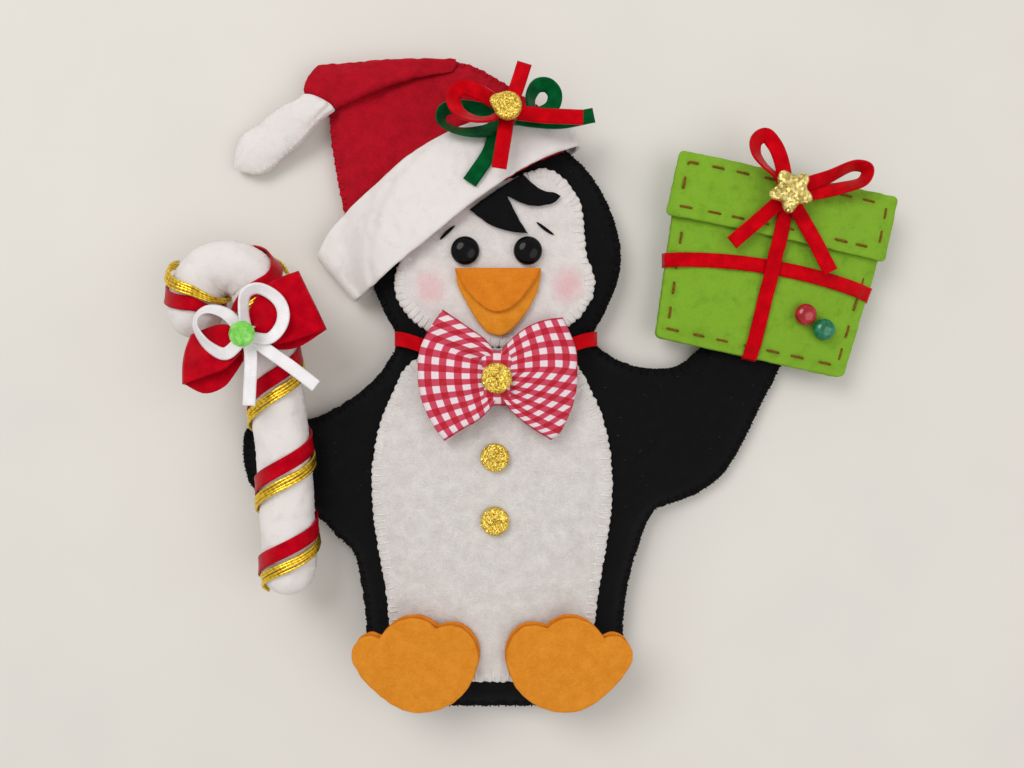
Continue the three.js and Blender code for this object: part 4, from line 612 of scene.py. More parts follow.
def ginghamSkin(name, white, red):
    skin = Skin(name, Roughness=0.85, Sheen_Weight=0.03, Sheen_Roughness=0.5, Specular_IOR_Level=0.12)
    cloth = skin.add("SeparateXYZ", {0: skin.cloth()})
    bands, threads = [], []
    for run in cloth.outputs[:2]:
        wave = skin.math("PINGPONG", run, cotton["check"])
        bands.append(skin.reach(wave, cotton["check"] * 0.44, cotton["check"] * 0.56))
        threads.append(skin.math("SINE", skin.math("MULTIPLY", run, cotton["threads"] * 2 * math.pi)))
    amount = skin.math("MULTIPLY", skin.math("ADD", bands[0], bands[1]), 0.5)
    ramp = skin.add("ValToRGB", {0: amount})
    ramp.color_ramp.elements[0].color = white
    ramp.color_ramp.elements[1].color = red
    ramp.color_ramp.elements.new(0.5).color = cotton["single"]
    thread = skin.math("MULTIPLY", threads[0], threads[1])
    worn = skin.total([(thread, 0.5), (skin.noise(0.9, 3), 1.0)])
    skin.colour(skin.blend(skin.reach(worn, 0.0, 1.1, 0.0, 0.07), ramp.outputs[0], cotton["worn"]))
    skin.bump(thread, 0.06, 0.6)
    return skin.made


# Glitter: small metal flakes that each lean their own way
def glitterSkin(name, dark, bright, flake=3.2):
    skin = Skin(name, Roughness=0.3, Metallic=0.6, Specular_IOR_Level=0.6)
    cells = skin.add("TexVoronoi", {"Vector": skin.millimetres()}, {"Scale": flake, "Randomness": 1.0})
    lean = skin.add("VectorMath", {0: cells.outputs["Color"]}, {1: (0.5, 0.5, 0.5)}, operation="SUBTRACT")
    lean = skin.add("VectorMath", {0: lean.outputs[0]}, {3: 1.15}, operation="SCALE")
    facing = skin.add("NewGeometry").outputs["Normal"]
    tilted = skin.add("VectorMath", {0: lean.outputs[0], 1: facing}, operation="ADD")
    tilted = skin.add("VectorMath", {0: tilted.outputs[0]}, operation="NORMALIZE")
    skin.tree.links.new(tilted.outputs[0], skin.surface.inputs["Normal"])
    skin.shade(skin.add("SeparateColor", {0: cells.outputs["Color"]}).outputs[0], 0.1, 0.9, dark, bright)
    return skin.made


# Bright metal thread, marked by its twist
def cordSkin(name, deep, light):
    skin = Skin(name, Roughness=0.26, Metallic=0.9, Specular_IOR_Level=0.6)
    cloth = skin.add("SeparateXYZ", {0: skin.cloth()})
    twist = skin.math("SINE", skin.math("ADD", skin.math("MULTIPLY", cloth.outputs[0], 5.0), cloth.outputs[1]))
    skin.shade(skin.total([(twist, 0.1), (skin.noise(1.1, 3), 1.0)]), 0.15, 0.75, deep, light)
    skin.bump(twist, 0.02, 0.5)
    return skin.made


def threadSkin(name, deep, light, sheen=0.0):
    skin = Skin(name, Roughness=0.75, Sheen_Weight=sheen, Sheen_Roughness=0.5, Specular_IOR_Level=0.12)
    strands = skin.noise(2.6, 3, 0.6, 0.8)
    skin.shade(strands, 0.35, 0.65, deep, light)
    skin.bump(strands, 0.08, 0.6)
    return skin.made


# Glossy plastic: beads and the gem, with faint clouds in their colour
def beadSkin(name, deep, light, rough=0.22, clear=0.3, coat=0.2, gloss=0.5):
    skin = Skin(name, Roughness=rough, Transmission_Weight=clear, Coat_Weight=coat, Coat_Roughness=0.04,
                IOR=1.5, Specular_IOR_Level=gloss)
    skin.shade(skin.noise(0.7, 3, 0.5), 0.35, 0.65, deep, light)
    skin.bump(skin.noise(1.4, 2), 0.02, 0.4)
    return skin.made


cheeks = (  # x, y, half width, half height, strength of the blush
    (-17.9, 67.0, 4.5, 5.3, 0.36),
    (20.6, 67.9, 4.6, 5.6, 0.42),
)
skinRows = [  # maker, name, deep colour, light colour, other settings
    (feltSkin, "blackFelt", (3, 3, 4), (13, 13, 15), {"sheen": 0.03, "lint": 0.16}),
    (feltSkin, "whiteFelt", (199, 192, 188), (234, 230, 227), {}),
    (feltSkin, "faceFelt", (212, 203, 199), (238, 233, 230), {"blush": cheeks}),
    (feltSkin, "fleece", (210, 202, 198), (236, 230, 227), {"cloudy": 0.5}),
    (feltSkin, "redFelt", (146, 2, 18), (198, 12, 38), {"sheen": 0.04}),
    (feltSkin, "orangeFelt", (212, 124, 18), (238, 156, 50), {"sheen": 0.1}),
    # darker orange: the upper beak's colour, and painted shade where the feet's back layers show past the front
    # layers
    (feltSkin, "beakFelt", (208, 112, 18), (234, 142, 38), {"sheen": 0.1}),
    (feltSkin, "limeFelt", (92, 136, 22), (130, 176, 46), {"sheen": 0.06, "cloudy": 0.45}),
    (threadSkin, "blackThread", (2, 2, 3), (9, 9, 10), {}),
    (threadSkin, "whiteThread", (214, 208, 205), (240, 236, 234), {"sheen": 0.15}),
    (threadSkin, "redThread", (148, 8, 26), (192, 24, 46), {}),
    (threadSkin, "maroonThread", (96, 62, 12), (134, 92, 28), {}),
    (satinSkin, "redSatin", (166, 2, 14), (216, 8, 22), {}),
    (satinSkin, "bowSatin", (154, 2, 20), (204, 8, 30), {"rough": 0.3}),
    (satinSkin, "greenSatin", (2, 62, 28), (10, 100, 50), {}),
    (satinSkin, "whiteSatin", (226, 222, 224), (244, 241, 242), {"rough": 0.5, "ribs": 2.0}),
    (ginghamSkin, "gingham", (234, 220, 224), (184, 0, 34), {}),
    (glitterSkin, "glitter", (188, 142, 26), (255, 226, 104), {}),
    (glitterSkin, "paleGold", (186, 160, 76), (246, 228, 150), {"flake": 1.4}),
    (cordSkin, "goldCord", (204, 150, 12), (255, 226, 80), {}),
    (beadSkin, "redBead", (160, 4, 22), (204, 14, 40), {}),
    (beadSkin, "greenBead", (2, 104, 66), (10, 146, 100), {}),
    (beadSkin, "greenGem", (112, 214, 62), (158, 240, 108), {"rough": 0.05, "coat": 1.0}),
]
skins = {name: maker(name, tint(*deep), tint(*light), **settings)
         for maker, name, deep, light, settings in skinRows}
skins["blackBead"] = beadSkin("blackBead", (0.001, 0.001, 0.0015, 1), (0.003, 0.003, 0.004, 1), rough=0.1,
                              clear=0.0, coat=0.0, gloss=0.16)
print("materials are mixed")


# Floor

floorLook = {"size": 2.4, "deep": tint(214, 210, 204), "light": tint(222, 218, 211)}
half = floorLook["size"] / 2
floorMesh = bpy.data.meshes.new("floor")
floorMesh.from_pydata([(-half, -half, 0), (half, -half, 0), (half, half, 0), (-half, half, 0)], [],
                      [(0, 1, 2, 3)])
floorSkin = Skin("floor", Roughness=0.9, Specular_IOR_Level=0.1)
floorSkin.colour(floorSkin.blend(floorSkin.noise(0.02, 2), floorLook["deep"], floorLook["light"]))
floorMesh.materials.append(floorSkin.made)
floor = bpy.data.objects.new("floor", floorMesh)
floor.location.z = -0.0002
bpy.context.scene.collection.objects.link(floor)


# Body: its outline as shares of the head, the wings and the torso

body = {
    "neckY": 52.5, "headHalfWidth": 36.4, "headHeight": 63.8,
    "torsoHalfWidth": 37.4, "torsoDepth": 105.3,
    "rightWingRoot": 29, "rightWingReach": 57, "rightWingRise": 59,
    "leftWingRoot": 27.6, "leftWingReach": 46, "leftWingRise": 50, "wingJoinY": 1.5,
    "seamHeight": 6, "wingSeamHeight": 2.3, "wingFallStart": 34, "wingFallEnd": 62,
    "headLift": 3.75, "headLiftStartY": 40, "headLiftEndY": 62, "headLiftFade": 10,
    "frontPuff": 0.34, "backPuff": 0.27, "pitch": 2.35, "pull": 0.3, "stitch": 2.1, "backStitch": 1.8,
    "outside": 0.02, "lowest": 0.2,
}
headShares = [(0.775, 0.01), (0.87, 0.13), (0.96, 0.25), (1, 0.38), (0.97, 0.5), (0.89, 0.63),
              (0.75, 0.76), (0.55, 0.87), (0.29, 0.96)]
rightWingShares = [(0.12, 0.77), (0.24, 0.735), (0.34, 0.73), (0.43, 0.745), (0.52, 0.81), (0.62, 0.9),
                   (0.75, 0.98), (0.89, 1), (0.98, 0.94), (0.99, 0.83), (0.94, 0.71), (0.86, 0.56),
                   (0.76, 0.36), (0.66, 0.21), (0.54, 0.12), (0.42, 0.075), (0.3, 0.03)]
torsoShares = [(1.1, -0.075), (1.03, -0.165), (0.995, -0.25), (0.985, -0.33), (0.95, -0.41),
               (0.83, -0.47), (0.62, -0.497), (0.3, -0.5)]
leftWingShares = [(0.396, -0.11), (0.448, -0.054), (0.5, -0.015), (0.58, 0.015), (0.7, 0.06), (0.84, 0.115),
                  (0.93, 0.16), (0.98, 0.25), (1, 0.38), (0.975, 0.51), (0.88, 0.555), (0.7, 0.56),
                  (0.56, 0.57), (0.43, 0.62), (0.3, 0.69), (0.19, 0.77), (0.1, 0.86)]
bodyPoints = np.vstack([
    place(headShares + [(0, 1)], 0, body["neckY"], body["headHalfWidth"], body["headHeight"])[::-1],
    place(rightWingShares, body["rightWingRoot"], body["wingJoinY"], body["rightWingReach"],
          body["rightWingRise"]),
    place(torsoShares, 0, 0, body["torsoHalfWidth"], body["torsoDepth"]),
    place(mirrored(torsoShares), 0, 0, body["torsoHalfWidth"], body["torsoDepth"]),
    place(leftWingShares, -body["leftWingRoot"], body["wingJoinY"], -body["leftWingReach"],
          body["leftWingRise"]),
    place(headShares, 0, body["neckY"], -body["headHalfWidth"], body["headHeight"]),
])
bodyOutline = outlineOf([bodyPoints])
bodyDistance, bodyRise = stuffed(bodyOutline, 26)


def headRise(x, y):
    near = 1 - ease(body["headHalfWidth"], body["headHalfWidth"] + body["headLiftFade"], np.abs(x))
    return body["headLift"] * ease(body["headLiftStartY"], body["headLiftEndY"], y) * near


def seamHeight(x):
    fall = ease(body["wingFallStart"], body["wingFallEnd"], np.abs(x))
    return mix(body["seamHeight"], body["wingSeamHeight"], fall)


def backUnder(x, y):
    hang = body["backPuff"] * bodyRise(x, y)
    return np.maximum(headRise(x, y), seamHeight(x) - goods["seamGap"] / 2 - felt - hang)


def frontTop(x, y):
    return seamHeight(x) + goods["seamGap"] / 2 + body["frontPuff"] * bodyRise(x, y) + felt


def appliedUnder(x, y):
    return frontTop(x, y) + goods["layerGap"]


def appliedTop(x, y):
    return appliedUnder(x, y) + felt


# Evenly spaced hand stitches round an outline, each a little off its mark
def stitchSpots(outline, pitch, seed):
    wander, lean, uneven = 0.16, 0.13, 0.09  # shares of the pitch, radians, shares of the length
    rng = np.random.default_rng(seed)
    closed = np.vstack([outline, outline[:1]])
    run = runOf(closed)
    count = round(run[-1] / pitch)
    stops = (np.arange(count) + rng.uniform(-wander, wander, count)) * run[-1] / count % run[-1]
    normal = inwards(outline)
    inward = unit(readLine(stops, run, np.vstack([normal, normal[:1]])))
    turn = rng.normal(0, lean, count)
    c, s = np.cos(turn)[:, None], np.sin(turn)[:, None]
    inward = inward * c + np.column_stack([-inward[:, 1], inward[:, 0]]) * s
    return readLine(stops, run, closed), inward, 1 + rng.normal(0, uneven, count)


# A cut edge drawn in a little at each stitch, with the unevenness of hand cutting
def sewnEdge(outline, spots, pull, seed, width=0.55, rough=0.09):
    gap = np.linalg.norm(outline[:, None] - spots[None], axis=2)
    drawn = pull * np.exp(-(gap / width) ** 2).sum(1).clip(0, 1.1)
    wobble = rough * ripples(*outline.T, 3.2, seed)
    return outline + inwards(outline) * (drawn + wobble)[:, None]


# The hollows that stitches press into a felt top near its edge
def stitchHollows(ends, depth, width):
    def hollow(x, y, inner):
        lift = np.zeros(np.shape(x))
        near = np.flatnonzero(inner < 5)
        for first in range(0, len(near), 1500):
            some = near[first:first + 1500]
            gap = (x[some, None] - ends[:, 0]) ** 2 + (y[some, None] - ends[:, 1]) ** 2
            lift[some] = -depth * np.exp(-gap / (2 * width**2)).sum(1)
        return lift
    return hollow


# One short thread over an edge: out of the seam, up and over, and down into the felt
def overStitch(spot, inward, long, outside, low, top):
    steps = [(-outside, None), (-outside * 0.7, 0.75), (0.1, 1.06), (long * 0.55, 1.03), (long, 0.9),
             (long + 0.25, 0.6)]
    path = []
    for reach, rise in steps:
        x, y = spot + inward * reach
        height = top(np.array([x]), np.array([y]))[0]
        path.append((x, y, low if rise is None else mix(low, height + goods["thread"] * 0.35, rise)))
    return path


bodySpots, bodyInward, bodyLong = stitchSpots(bodyOutline, body["pitch"], 3)
bodyEdge = sewnEdge(bodyOutline, bodySpots, body["pull"], 4)
bodyHollow = stitchHollows(bodySpots + bodyInward * (body["stitch"] * bodyLong)[:, None], 0.3, 0.6)


def bodyRelief(x, y, inner):
    return bodyHollow(x, y, inner) + 0.09 * ripples(x, y, 9, 5) * ease(0, 5, inner)


frontPanel = feltSheet("frontFelt", bodyEdge, lambda x, y: frontTop(x, y) - felt, "blackFelt", "black_felt",
                       "front_panel", "torso_stuffing", "head_stuffing", "left_wing_stuffing",
                       "right_wing_stuffing", relief=bodyRelief)
backPanel = feltSheet("backFelt", bodyEdge, backUnder, "blackFelt", "black_felt", "back_panel", step=1.8)


def bodySeam():
    paths = []
    for spot, inward, long in zip(bodySpots, bodyInward, bodyLong):
        seam = seamHeight(spot[0])
        paths.append(overStitch(spot, inward, body["stitch"] * long, body["outside"], seam, frontTop))
        below = overStitch(spot, inward, body["backStitch"] * long, body["outside"], seam, backUnder)
        paths.append([(x, y, max(z, body["lowest"])) for x, y, z in below])
    ring = bodyEdge - inwards(bodyEdge) * 0.05
    ring = np.vstack([ring, ring[:2]])
    heights = seamHeight(ring[:, 0]) + 0.08 * ripples(*ring.T, 2.6, 6)
    paths.append(np.column_stack([ring, np.maximum(heights, goods["thread"])]))
    return paths


addTubes("bodyStitches", bodySeam(), goods["thread"] * 0.85, "blackThread", "black_thread",
         "body_seam_thread")
print("body is sewn")


# Face and belly: white felt laid on the body, its edge oversewn in white

patches = {
    "faceBaseY": 52.4, "faceHalfWidth": 28, "faceHeight": 48.8,
    "bellyBaseY": -43.4, "bellyHalfWidth": 33.6, "bellyHeight": 93.6, "bellyShift": -0.6,
    "pitch": 2.2, "stitch": 3.1, "pull": 0.5,
}
faceShares = [(0.12, -0.04), (0.34, -0.015), (0.62, 0.04), (0.85, 0.13), (0.98, 0.24), (1.02, 0.34),
              (0.98, 0.43), (0.935, 0.49), (0.915, 0.6), (0.9, 0.72), (0.86, 0.82), (0.77, 0.9), (0.65, 0.97),
              (0.5, 1), (0.34, 0.98), (0.16, 0.935)]
bellyShares = [(0.4, 0.002), (0.66, 0.027), (0.81, 0.085), (0.86, 0.166), (0.89, 0.26), (0.935, 0.36),
               (0.975, 0.456), (1, 0.546), (1, 0.634), (0.97, 0.72), (0.91, 0.806), (0.82, 0.88),
               (0.73, 0.94), (0.56, 0.985), (0.25, 1)]


def addPatch(name, shares, x, y, spanX, spanY, skin, node, threadNode, seed):
    outline = outlineOf([place(shares + mirrored(shares), x, y, spanX, spanY)])
    spots, inward, long = stitchSpots(outline, patches["pitch"], seed)
    edge = sewnEdge(outline, spots, patches["pull"], seed + 1, 0.5)
    hollow = stitchHollows(spots + inward * (patches["stitch"] * long)[:, None], 0.38, 0.5)

    def relief(px, py, inner):
        soft = 0.07 * ripples(px, py, 6, seed + 2) + 0.05 * ripples(px, py, 2.6, seed + 3)
        return hollow(px, py, inner) + soft * ease(0, 3, inner)
    sheet = feltSheet(name, edge, appliedUnder, skin, "white_felt", node, relief=relief)
    reach = patches["stitch"] - patches["pull"]
    paths = []
    for spot, way, size in zip(spots, inward, long):
        low = frontTop(*(spot - way * 0.3)) - 0.2
        paths.append(overStitch(spot + way * patches["pull"], way, reach * size, 0.1, low, appliedTop))
    ring = np.vstack([edge, edge[:2]])
    paths.append(np.column_stack([ring, frontTop(*ring.T) + 0.1]))
    addTubes(name + "Stitches", paths, goods["thread"] * 0.75, "whiteThread", "white_thread", threadNode)
    return outline


addPatch("faceFelt", faceShares, 0, patches["faceBaseY"], patches["faceHalfWidth"], patches["faceHeight"],
         "faceFelt", "face_panel", "face_seam_thread", 21)
bellyOutline = addPatch("bellyFelt", bellyShares, patches["bellyShift"], patches["bellyBaseY"],
                        patches["bellyHalfWidth"], patches["bellyHeight"], "whiteFelt",
                        "belly_panel", "belly_seam_thread", 31)
print("face and belly are laid on")


# Hat: a red cone laid over the head, a white brim band round its opening

hat = {
    "leftX": -51, "lowY": 65.5, "width": 72, "height": 69, "puff": 0.3, "blend": 3, "headFall": 1.1,
    "peek": 0.3, "leftPeek": -1.2, "pitch": 2.3, "pull": 0.5, "stitch": 1.9,
    "brimX": -46.3, "brimY": 70, "brimTurn": 30.6, "brimLength": 80, "brimWidth": 22,
    "brimReach": 3.2, "brimCrown": 0.4,
}
brimLowShares = [(0.02, -0.36), (0.14, -0.34), (0.27, -0.28), (0.4, -0.22), (0.565, -0.13),
                 (0.72, -0.085), (0.86, -0.08), (1.01, -0.13)]
brimHighShares = [(-0.02, 0.36), (0.07, 0.57), (0.14, 0.66), (0.32, 0.77), (0.5, 0.85), (0.68, 0.81),
                  (0.79, 0.7), (0.89, 0.54), (0.99, 0.32), (1.035, 0.18)]
hatRightShares = [(0.965, 0.69), (0.95, 0.755), (0.9, 0.8), (0.833, 0.845), (0.765, 0.895),
                  (0.674, 0.951), (0.61, 0.982), (0.555, 0.997)]
hatLeftShares = [(0.005, 0.96), (0.012, 0.862), (0.035, 0.775), (0.04, 0.69), (0.067, 0.504),
                 (0.085, 0.409), (0.104, 0.31), (0.14, 0.167)]


def inBrim(shares):
    return place(shares, hat["brimX"], hat["brimY"], hat["brimLength"], hat["brimWidth"], hat["brimTurn"])


def inHat(shares):
    return place(shares, hat["leftX"], hat["lowY"], hat["width"], hat["height"])


def pointAt(line, share):  # a point that share of the way along an evenly stepped line
    where = np.clip(np.asarray(share, float), 0, 1) * (len(line) - 1)
    return np.stack([np.interp(where, np.arange(len(line)), line[:, k]) for k in (0, 1)], axis=-1)


brimLow = smoothLine(inBrim(brimLowShares), 0.2)
brimHigh = smoothLine(inBrim(brimHighShares), 0.2)
belowBrim = np.array([math.sin(hat["brimTurn"] * degree), -math.cos(hat["brimTurn"] * degree)])
hatRight, hatLeft = inHat(hatRightShares), inHat(hatLeftShares)
hatPeek = np.linspace(hat["leftPeek"], hat["peek"], 11)[:, None]
hatLow = pointAt(brimLow, np.linspace(0.07, 0.93, 11)) + belowBrim * hatPeek
hatOutline = outlineOf([
    hatLow,
    np.vstack([hatLow[-1:], hatRight]),
    np.vstack([hatRight[-1:], hatLeft[:1]]),
    np.vstack([hatLeft, hatLow[:1]]),
])
_, hatRise = stuffed(hatOutline)
hatBackUnder = felt + goods["layerGap"]
hatBackTop = hatBackUnder + felt


def hatUnder(x, y):
    beyond = np.maximum(-bodyDistance(x, y), 0)
    overHead = appliedTop(x, y) + goods["hatGap"] - hat["headFall"] * beyond
    return softMax(overHead, hatBackTop + goods["seamGap"] + hat["puff"] * hatRise(x, y), hat["blend"])


def hatTop(x, y):
    return hatUnder(x, y) + felt


def brimTop(x, y):
    return hatTop(x, y) + goods["hatGap"] + felt


hatSpots, hatInward, hatLong = stitchSpots(hatOutline, hat["pitch"], 41)
aboveBrim = (hatSpots - inBrim([(0, 0.5)])[0]) @ -belowBrim > 0
hatEdge = sewnEdge(hatOutline, hatSpots[aboveBrim], hat["pull"], 42, 0.7)
hatHollow = stitchHollows((hatSpots + hatInward * hat["stitch"])[aboveBrim], 0.28, 0.55)


def hatRelief(x, y, inner):
    soft = 0.3 * ripples(x, y, 16, 43) + 0.05 * ripples(x, y, 3, 44)
    return hatHollow(x, y, inner) + soft * ease(0.5, 6, inner)


hatFront = feltSheet("hatFelt", hatEdge, hatUnder, "redFelt", "red_felt", "hat_front", relief=hatRelief)
hatBack = feltSheet("hatBackFelt", hatEdge, lambda x, y: hatBackUnder + 0 * x, "redFelt", "red_felt",
                    "hat_back", step=2.2)
hatPaths = []
for spot, way, size in zip(hatSpots[aboveBrim], hatInward[aboveBrim], hatLong[aboveBrim]):
    low = hatUnder(*(spot - way * 0.3)) - 0.1
    long = hat["stitch"] * size - hat["pull"]
    hatPaths.append(overStitch(spot + way * hat["pull"], way, long, 0.1, low, hatTop))
addTubes("hatStitches", hatPaths, goods["thread"] * 0.8, "redThread", "red_felt")


# A band over the front, round both ends and back underneath, as rows of points
def bandRound(low, high, front, back, shares, reach, steps, endSteps):
    rows = []

    def plan(share, under=False):
        a, b = low(share, under), high(share, under)
        return a + (b - a) * shares[:, None]

    def level(share, height, under):
        spots = plan(share, under)
        return np.column_stack([spots, height(*spots.T)])

    def end(share, side, turn):
        spots = plan(share)
        away = unit(spots - plan(share - side * 0.02))
        top, foot = front(*spots.T), back(*spots.T)
        spots = spots + away * reach * math.cos(turn * degree)
        return np.column_stack([spots, (top + foot) / 2 + (top - foot) / 2 * math.sin(turn * degree)])
    for i in range(steps + 1):
        rows.append(level(i / steps, front, False))
    for i in range(1, endSteps):
        rows.append(end(1, 1, 90 - 180 * i / endSteps))
    for i in range(steps + 1):
        rows.append(level(1 - i / steps, back, True))
    for i in range(1, endSteps):
        rows.append(end(0, -1, -90 + 180 * i / endSteps))
    return np.array(rows)


def addBrim():
    start = hat["brimReach"] / hat["brimLength"]
    edge = np.array([0, 0.006, 0.018, 0.04, 0.075])
    shares = np.r_[edge, np.linspace(0.13, 0.87, 15), 1 - edge[::-1]]

    def along(share):
        return start + (1 - 2 * start) * share

    def front(x, y):
        share = np.clip(((np.column_stack([x, y]) - inBrim([(0, 0)])[0]) @ -belowBrim)
                        / hat["brimWidth"], -0.4, 0.9)
        crown = np.sin(np.linspace(0, 1, len(x)) * math.pi) ** 0.5 if len(x) == len(shares) else share
        soft = 0.16 * ripples(x, y, 8, 51) + 0.1 * ripples(x, y, 3.6, 52)
        return brimTop(x, y) - felt / 2 + hat["brimCrown"] * crown - 0.15 + soft * crown

    def back(x, y):
        return felt / 2 + 0.05 + 0 * x
    grid = bandRound(lambda s, under: pointAt(brimLow, along(s)), lambda s, under: pointAt(brimHigh, along(s)),
                     front, back, shares, hat["brimReach"] - felt / 2, 96, 14)
    thick = felt * (1 - 0.5 * np.exp(-np.minimum(shares, 1 - shares) * hat["brimWidth"] / 0.3))
    brim = makeMesh("brim", clothParts(grid, thick[None], wrap=True), "fleece", "white_felt", "hat_brim")


addBrim()


# Hat tail: the cone's top folded forward over its crease

tail = {
    "x": -50.6, "y": 131.8, "length": 39.5, "drop": 12.2, "overhang": 4.5, "thickness": 3.2, "puff": 0.3,
    "creaseGap": 0.35, "edge": 2.1, "wrap": 1.1, "rightEnd": 0.12, "fade": 17, "sink": 0.45,
}
tailLowShares = [(0.97, -0.1), (0.86, -0.17), (0.72, -0.29), (0.57, -0.44), (0.42, -0.61),
                 (0.27, -0.82), (0.12, -0.99)]
tailEndShares = [(-0.55, -0.68), (-1, -0.62), (-0.98, -0.42), (-0.62, -0.14)]
creaseY = tail["y"] - tail["creaseGap"]
tailLow = place(tailLowShares, tail["x"], creaseY, tail["length"], tail["drop"])
tailEnd = place(tailEndShares, tail["x"], creaseY, tail["overhang"], tail["drop"])
creaseLeft = np.array([[tail["x"], creaseY]])
creaseRight = np.array([[tail["x"] + tail["length"], hatRight[-1][1] - 3 * tail["creaseGap"]]])
tip = {
    "x": -50.9, "y": 120.9, "rootTurn": 153, "restDepth": 0.3, "length": 31, "turn": 215,
    "halfWidth": 6.4, "rootHalfWidth": 4.9, "halfHeight": 3.5, "rootHalfHeight": 2.1, "rootCap": 0.06,
}


def addTail():
    lift = np.array([[0, tail["wrap"]]])
    middle = (creaseLeft + creaseRight) / 2 + lift * 1.25
    outline = outlineOf([
        np.vstack([creaseLeft + (-0.3, 0.75), middle, creaseRight + (0.1, 0.9)]),
        np.vstack([creaseRight + (0.1, 0.9), tailLow]),
        np.vstack([tailLow[-1:], tailEnd[1:2]]),
        np.vstack([tailEnd[1:], creaseLeft + (-0.3, 0.75)]),
    ], 0.6)
    _, rise = stuffed(outline)
    spots, _, _ = stitchSpots(outline, hat["pitch"], 61)
    lowSide = spots[:, 1] < creaseY - 1.5
    edge = sewnEdge(outline, spots[lowSide], 0.16, 62)
    points, triangles, rim, inner = fillShape(edge, 1.1, (0.1, 0.3, 0.65, 1.1, 1.7, 2.4, 3.2))
    x, y = points.T
    rounded = (1 - (1 - np.clip(inner / tail["edge"], 0, 1)) ** 2.2) ** (1 / 2.2)
    full = tail["thickness"] + tail["puff"] * rise(x, y)
    full = full * mix(tail["rightEnd"], 1, ease(0, tail["fade"], creaseRight[0, 0] - x))
    under = hatTop(x, np.minimum(y, creaseY - 0.4)) + goods["layerGap"]
    middle = under + full * 0.42
    away = np.hypot(x - tip["x"], y - tip["y"])
    angle = np.arctan2(y - tip["y"], x - tip["x"])
    gather = 0.42 * np.exp(-away / 9) * np.cos(angle * 8 + 0.6) * ease(0.5, 3, inner)
    soft = 0.22 * ripples(x, y, 9, 63) + 0.05 * ripples(x, y, 2.8, 64)
    fold = 0.35 * np.exp(-(((y - creaseY) + 4.5 + 0.06 * (x + 30)) / 1.6) ** 2) * ease(-46, -38, x)
    top = middle + full * (0.03 + 0.55 * rounded) + gather + (soft - fold) * ease(0.3, 2.5, inner)
    foot = middle - full * 0.42 * rounded - tail["sink"] * ease(creaseY - 2, creaseY, y)
    sheet = makeMesh("hatTail", slabParts(points, triangles, rim, top, foot), "redFelt", "red_felt",
                     "hat_tail", body=None)
    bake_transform(sheet)


addTail()


# Hat tip: a stuffed white drop hanging from the tail's end down to the floor
def addTip():
    turn = tip["turn"] * degree
    along = np.array([math.cos(turn), math.sin(turn)])
    rootUnder = hatTop(np.array([tip["x"]]), np.array([tip["y"]]))[0] + goods["layerGap"]
    rootHeight = rootUnder + tip["rootHalfHeight"] + felt
    cap = -tip["rootCap"] * np.cos(np.linspace(0.1, math.pi / 2, 8))[:-1]
    share = np.r_[cap, np.linspace(0, 0.9, 44), np.linspace(0.915, 0.9985, 12)]
    angle = np.arange(44) * 2 * math.pi / 44
    outer = np.sqrt(np.maximum(1 - ease(0.66, 1.0, share) ** 2, 0.0))
    outer = outer * np.sqrt(1 - (np.minimum(share, 0) / tip["rootCap"]) ** 2)
    swell = ease(0, 0.6, share)
    halfWidth = mix(tip["rootHalfWidth"], tip["halfWidth"], swell) * outer
    halfHeight = mix(tip["rootHalfHeight"], tip["halfHeight"], swell) * outer
    height = mix(rootHeight, tip["halfHeight"] - tip["restDepth"], ease(0, 0.7, share))
    across = mix(tip["rootTurn"], tip["turn"] - 90, ease(0, 0.4, share)) * degree
    sides, rises = np.cos(angle), np.sin(angle)
    seam = 1 - 0.1 * np.exp(-(rises / 0.16) ** 2)
    pinch = 1 + 0.09 * np.exp(-share / 0.16)[:, None] * np.cos(angle * 9)[None]
    bulge = 1 + 0.035 * ripples(share[:, None] * 29 + 0 * angle, sides[None] * 7 + rises[None] * 3, 8, 71)
    wide = halfWidth[:, None] * sides * seam * pinch * bulge
    tall = halfHeight[:, None] * rises * pinch * bulge
    x = tip["x"] + along[0] * tip["length"] * share[:, None] + np.cos(across)[:, None] * wide
    y = tip["y"] + along[1] * tip["length"] * share[:, None] + np.sin(across)[:, None] * wide
    z = np.maximum(height[:, None] + tall, 0.05)
    rings = np.stack([x, y, z], axis=-1)
    count = len(angle)
    points = np.vstack([rings.reshape(-1, 3), rings[0].mean(0), rings[-1].mean(0)])
    faces = []
    for i in range(len(share) - 1):
        for j in range(count):
            k = (j + 1) % count
            faces.append((i * count + j, i * count + k, (i + 1) * count + k, (i + 1) * count + j))
    last = (len(share) - 1) * count
    for j in range(count):
        k = (j + 1) % count
        faces.append((len(points) - 2, k, j))
        faces.append((len(points) - 1, last + j, last + k))
    drop = makeMesh("hatTip", (points, faces), "fleece", "white_felt", "hat_tip", body="hat_tip")
    paths = []
    for side in (0, count // 2):
        for i in range(13, len(share) - 12, 3):
            ring = rings[i]
            paths.append([ring[(side + k) % count] + (ring[(side + k) % count] - ring.mean(0)) * 0.02
                          for k in (-4, -2, 0, 2, 4)])
    addTubes("tipStitches", paths, 0.2, "whiteThread", "white_thread", body="hat_tip")


addTip()
print("hat is on")


# Seats: the height that clears a surface all round a spot

def around(surface, x, y, radius):
    turns = np.arange(8) * math.pi / 4
    return [surface(x, y)] + [surface(x + radius * math.cos(t), y + radius * math.sin(t)) for t in turns]


def seatHeight(surface, x, y, radius):
    return np.max(around(surface, x, y, radius), axis=0) + goods["trimGap"]


def seatUnder(surface, x, y, radius):
    return np.min(around(surface, x, y, radius), axis=0) - goods["trimGap"]


def secondUnder(x, y):
    return appliedTop(x, y) + goods["layerGap"]


def thirdUnder(x, y):
    return secondUnder(x, y) + felt + goods["layerGap"]


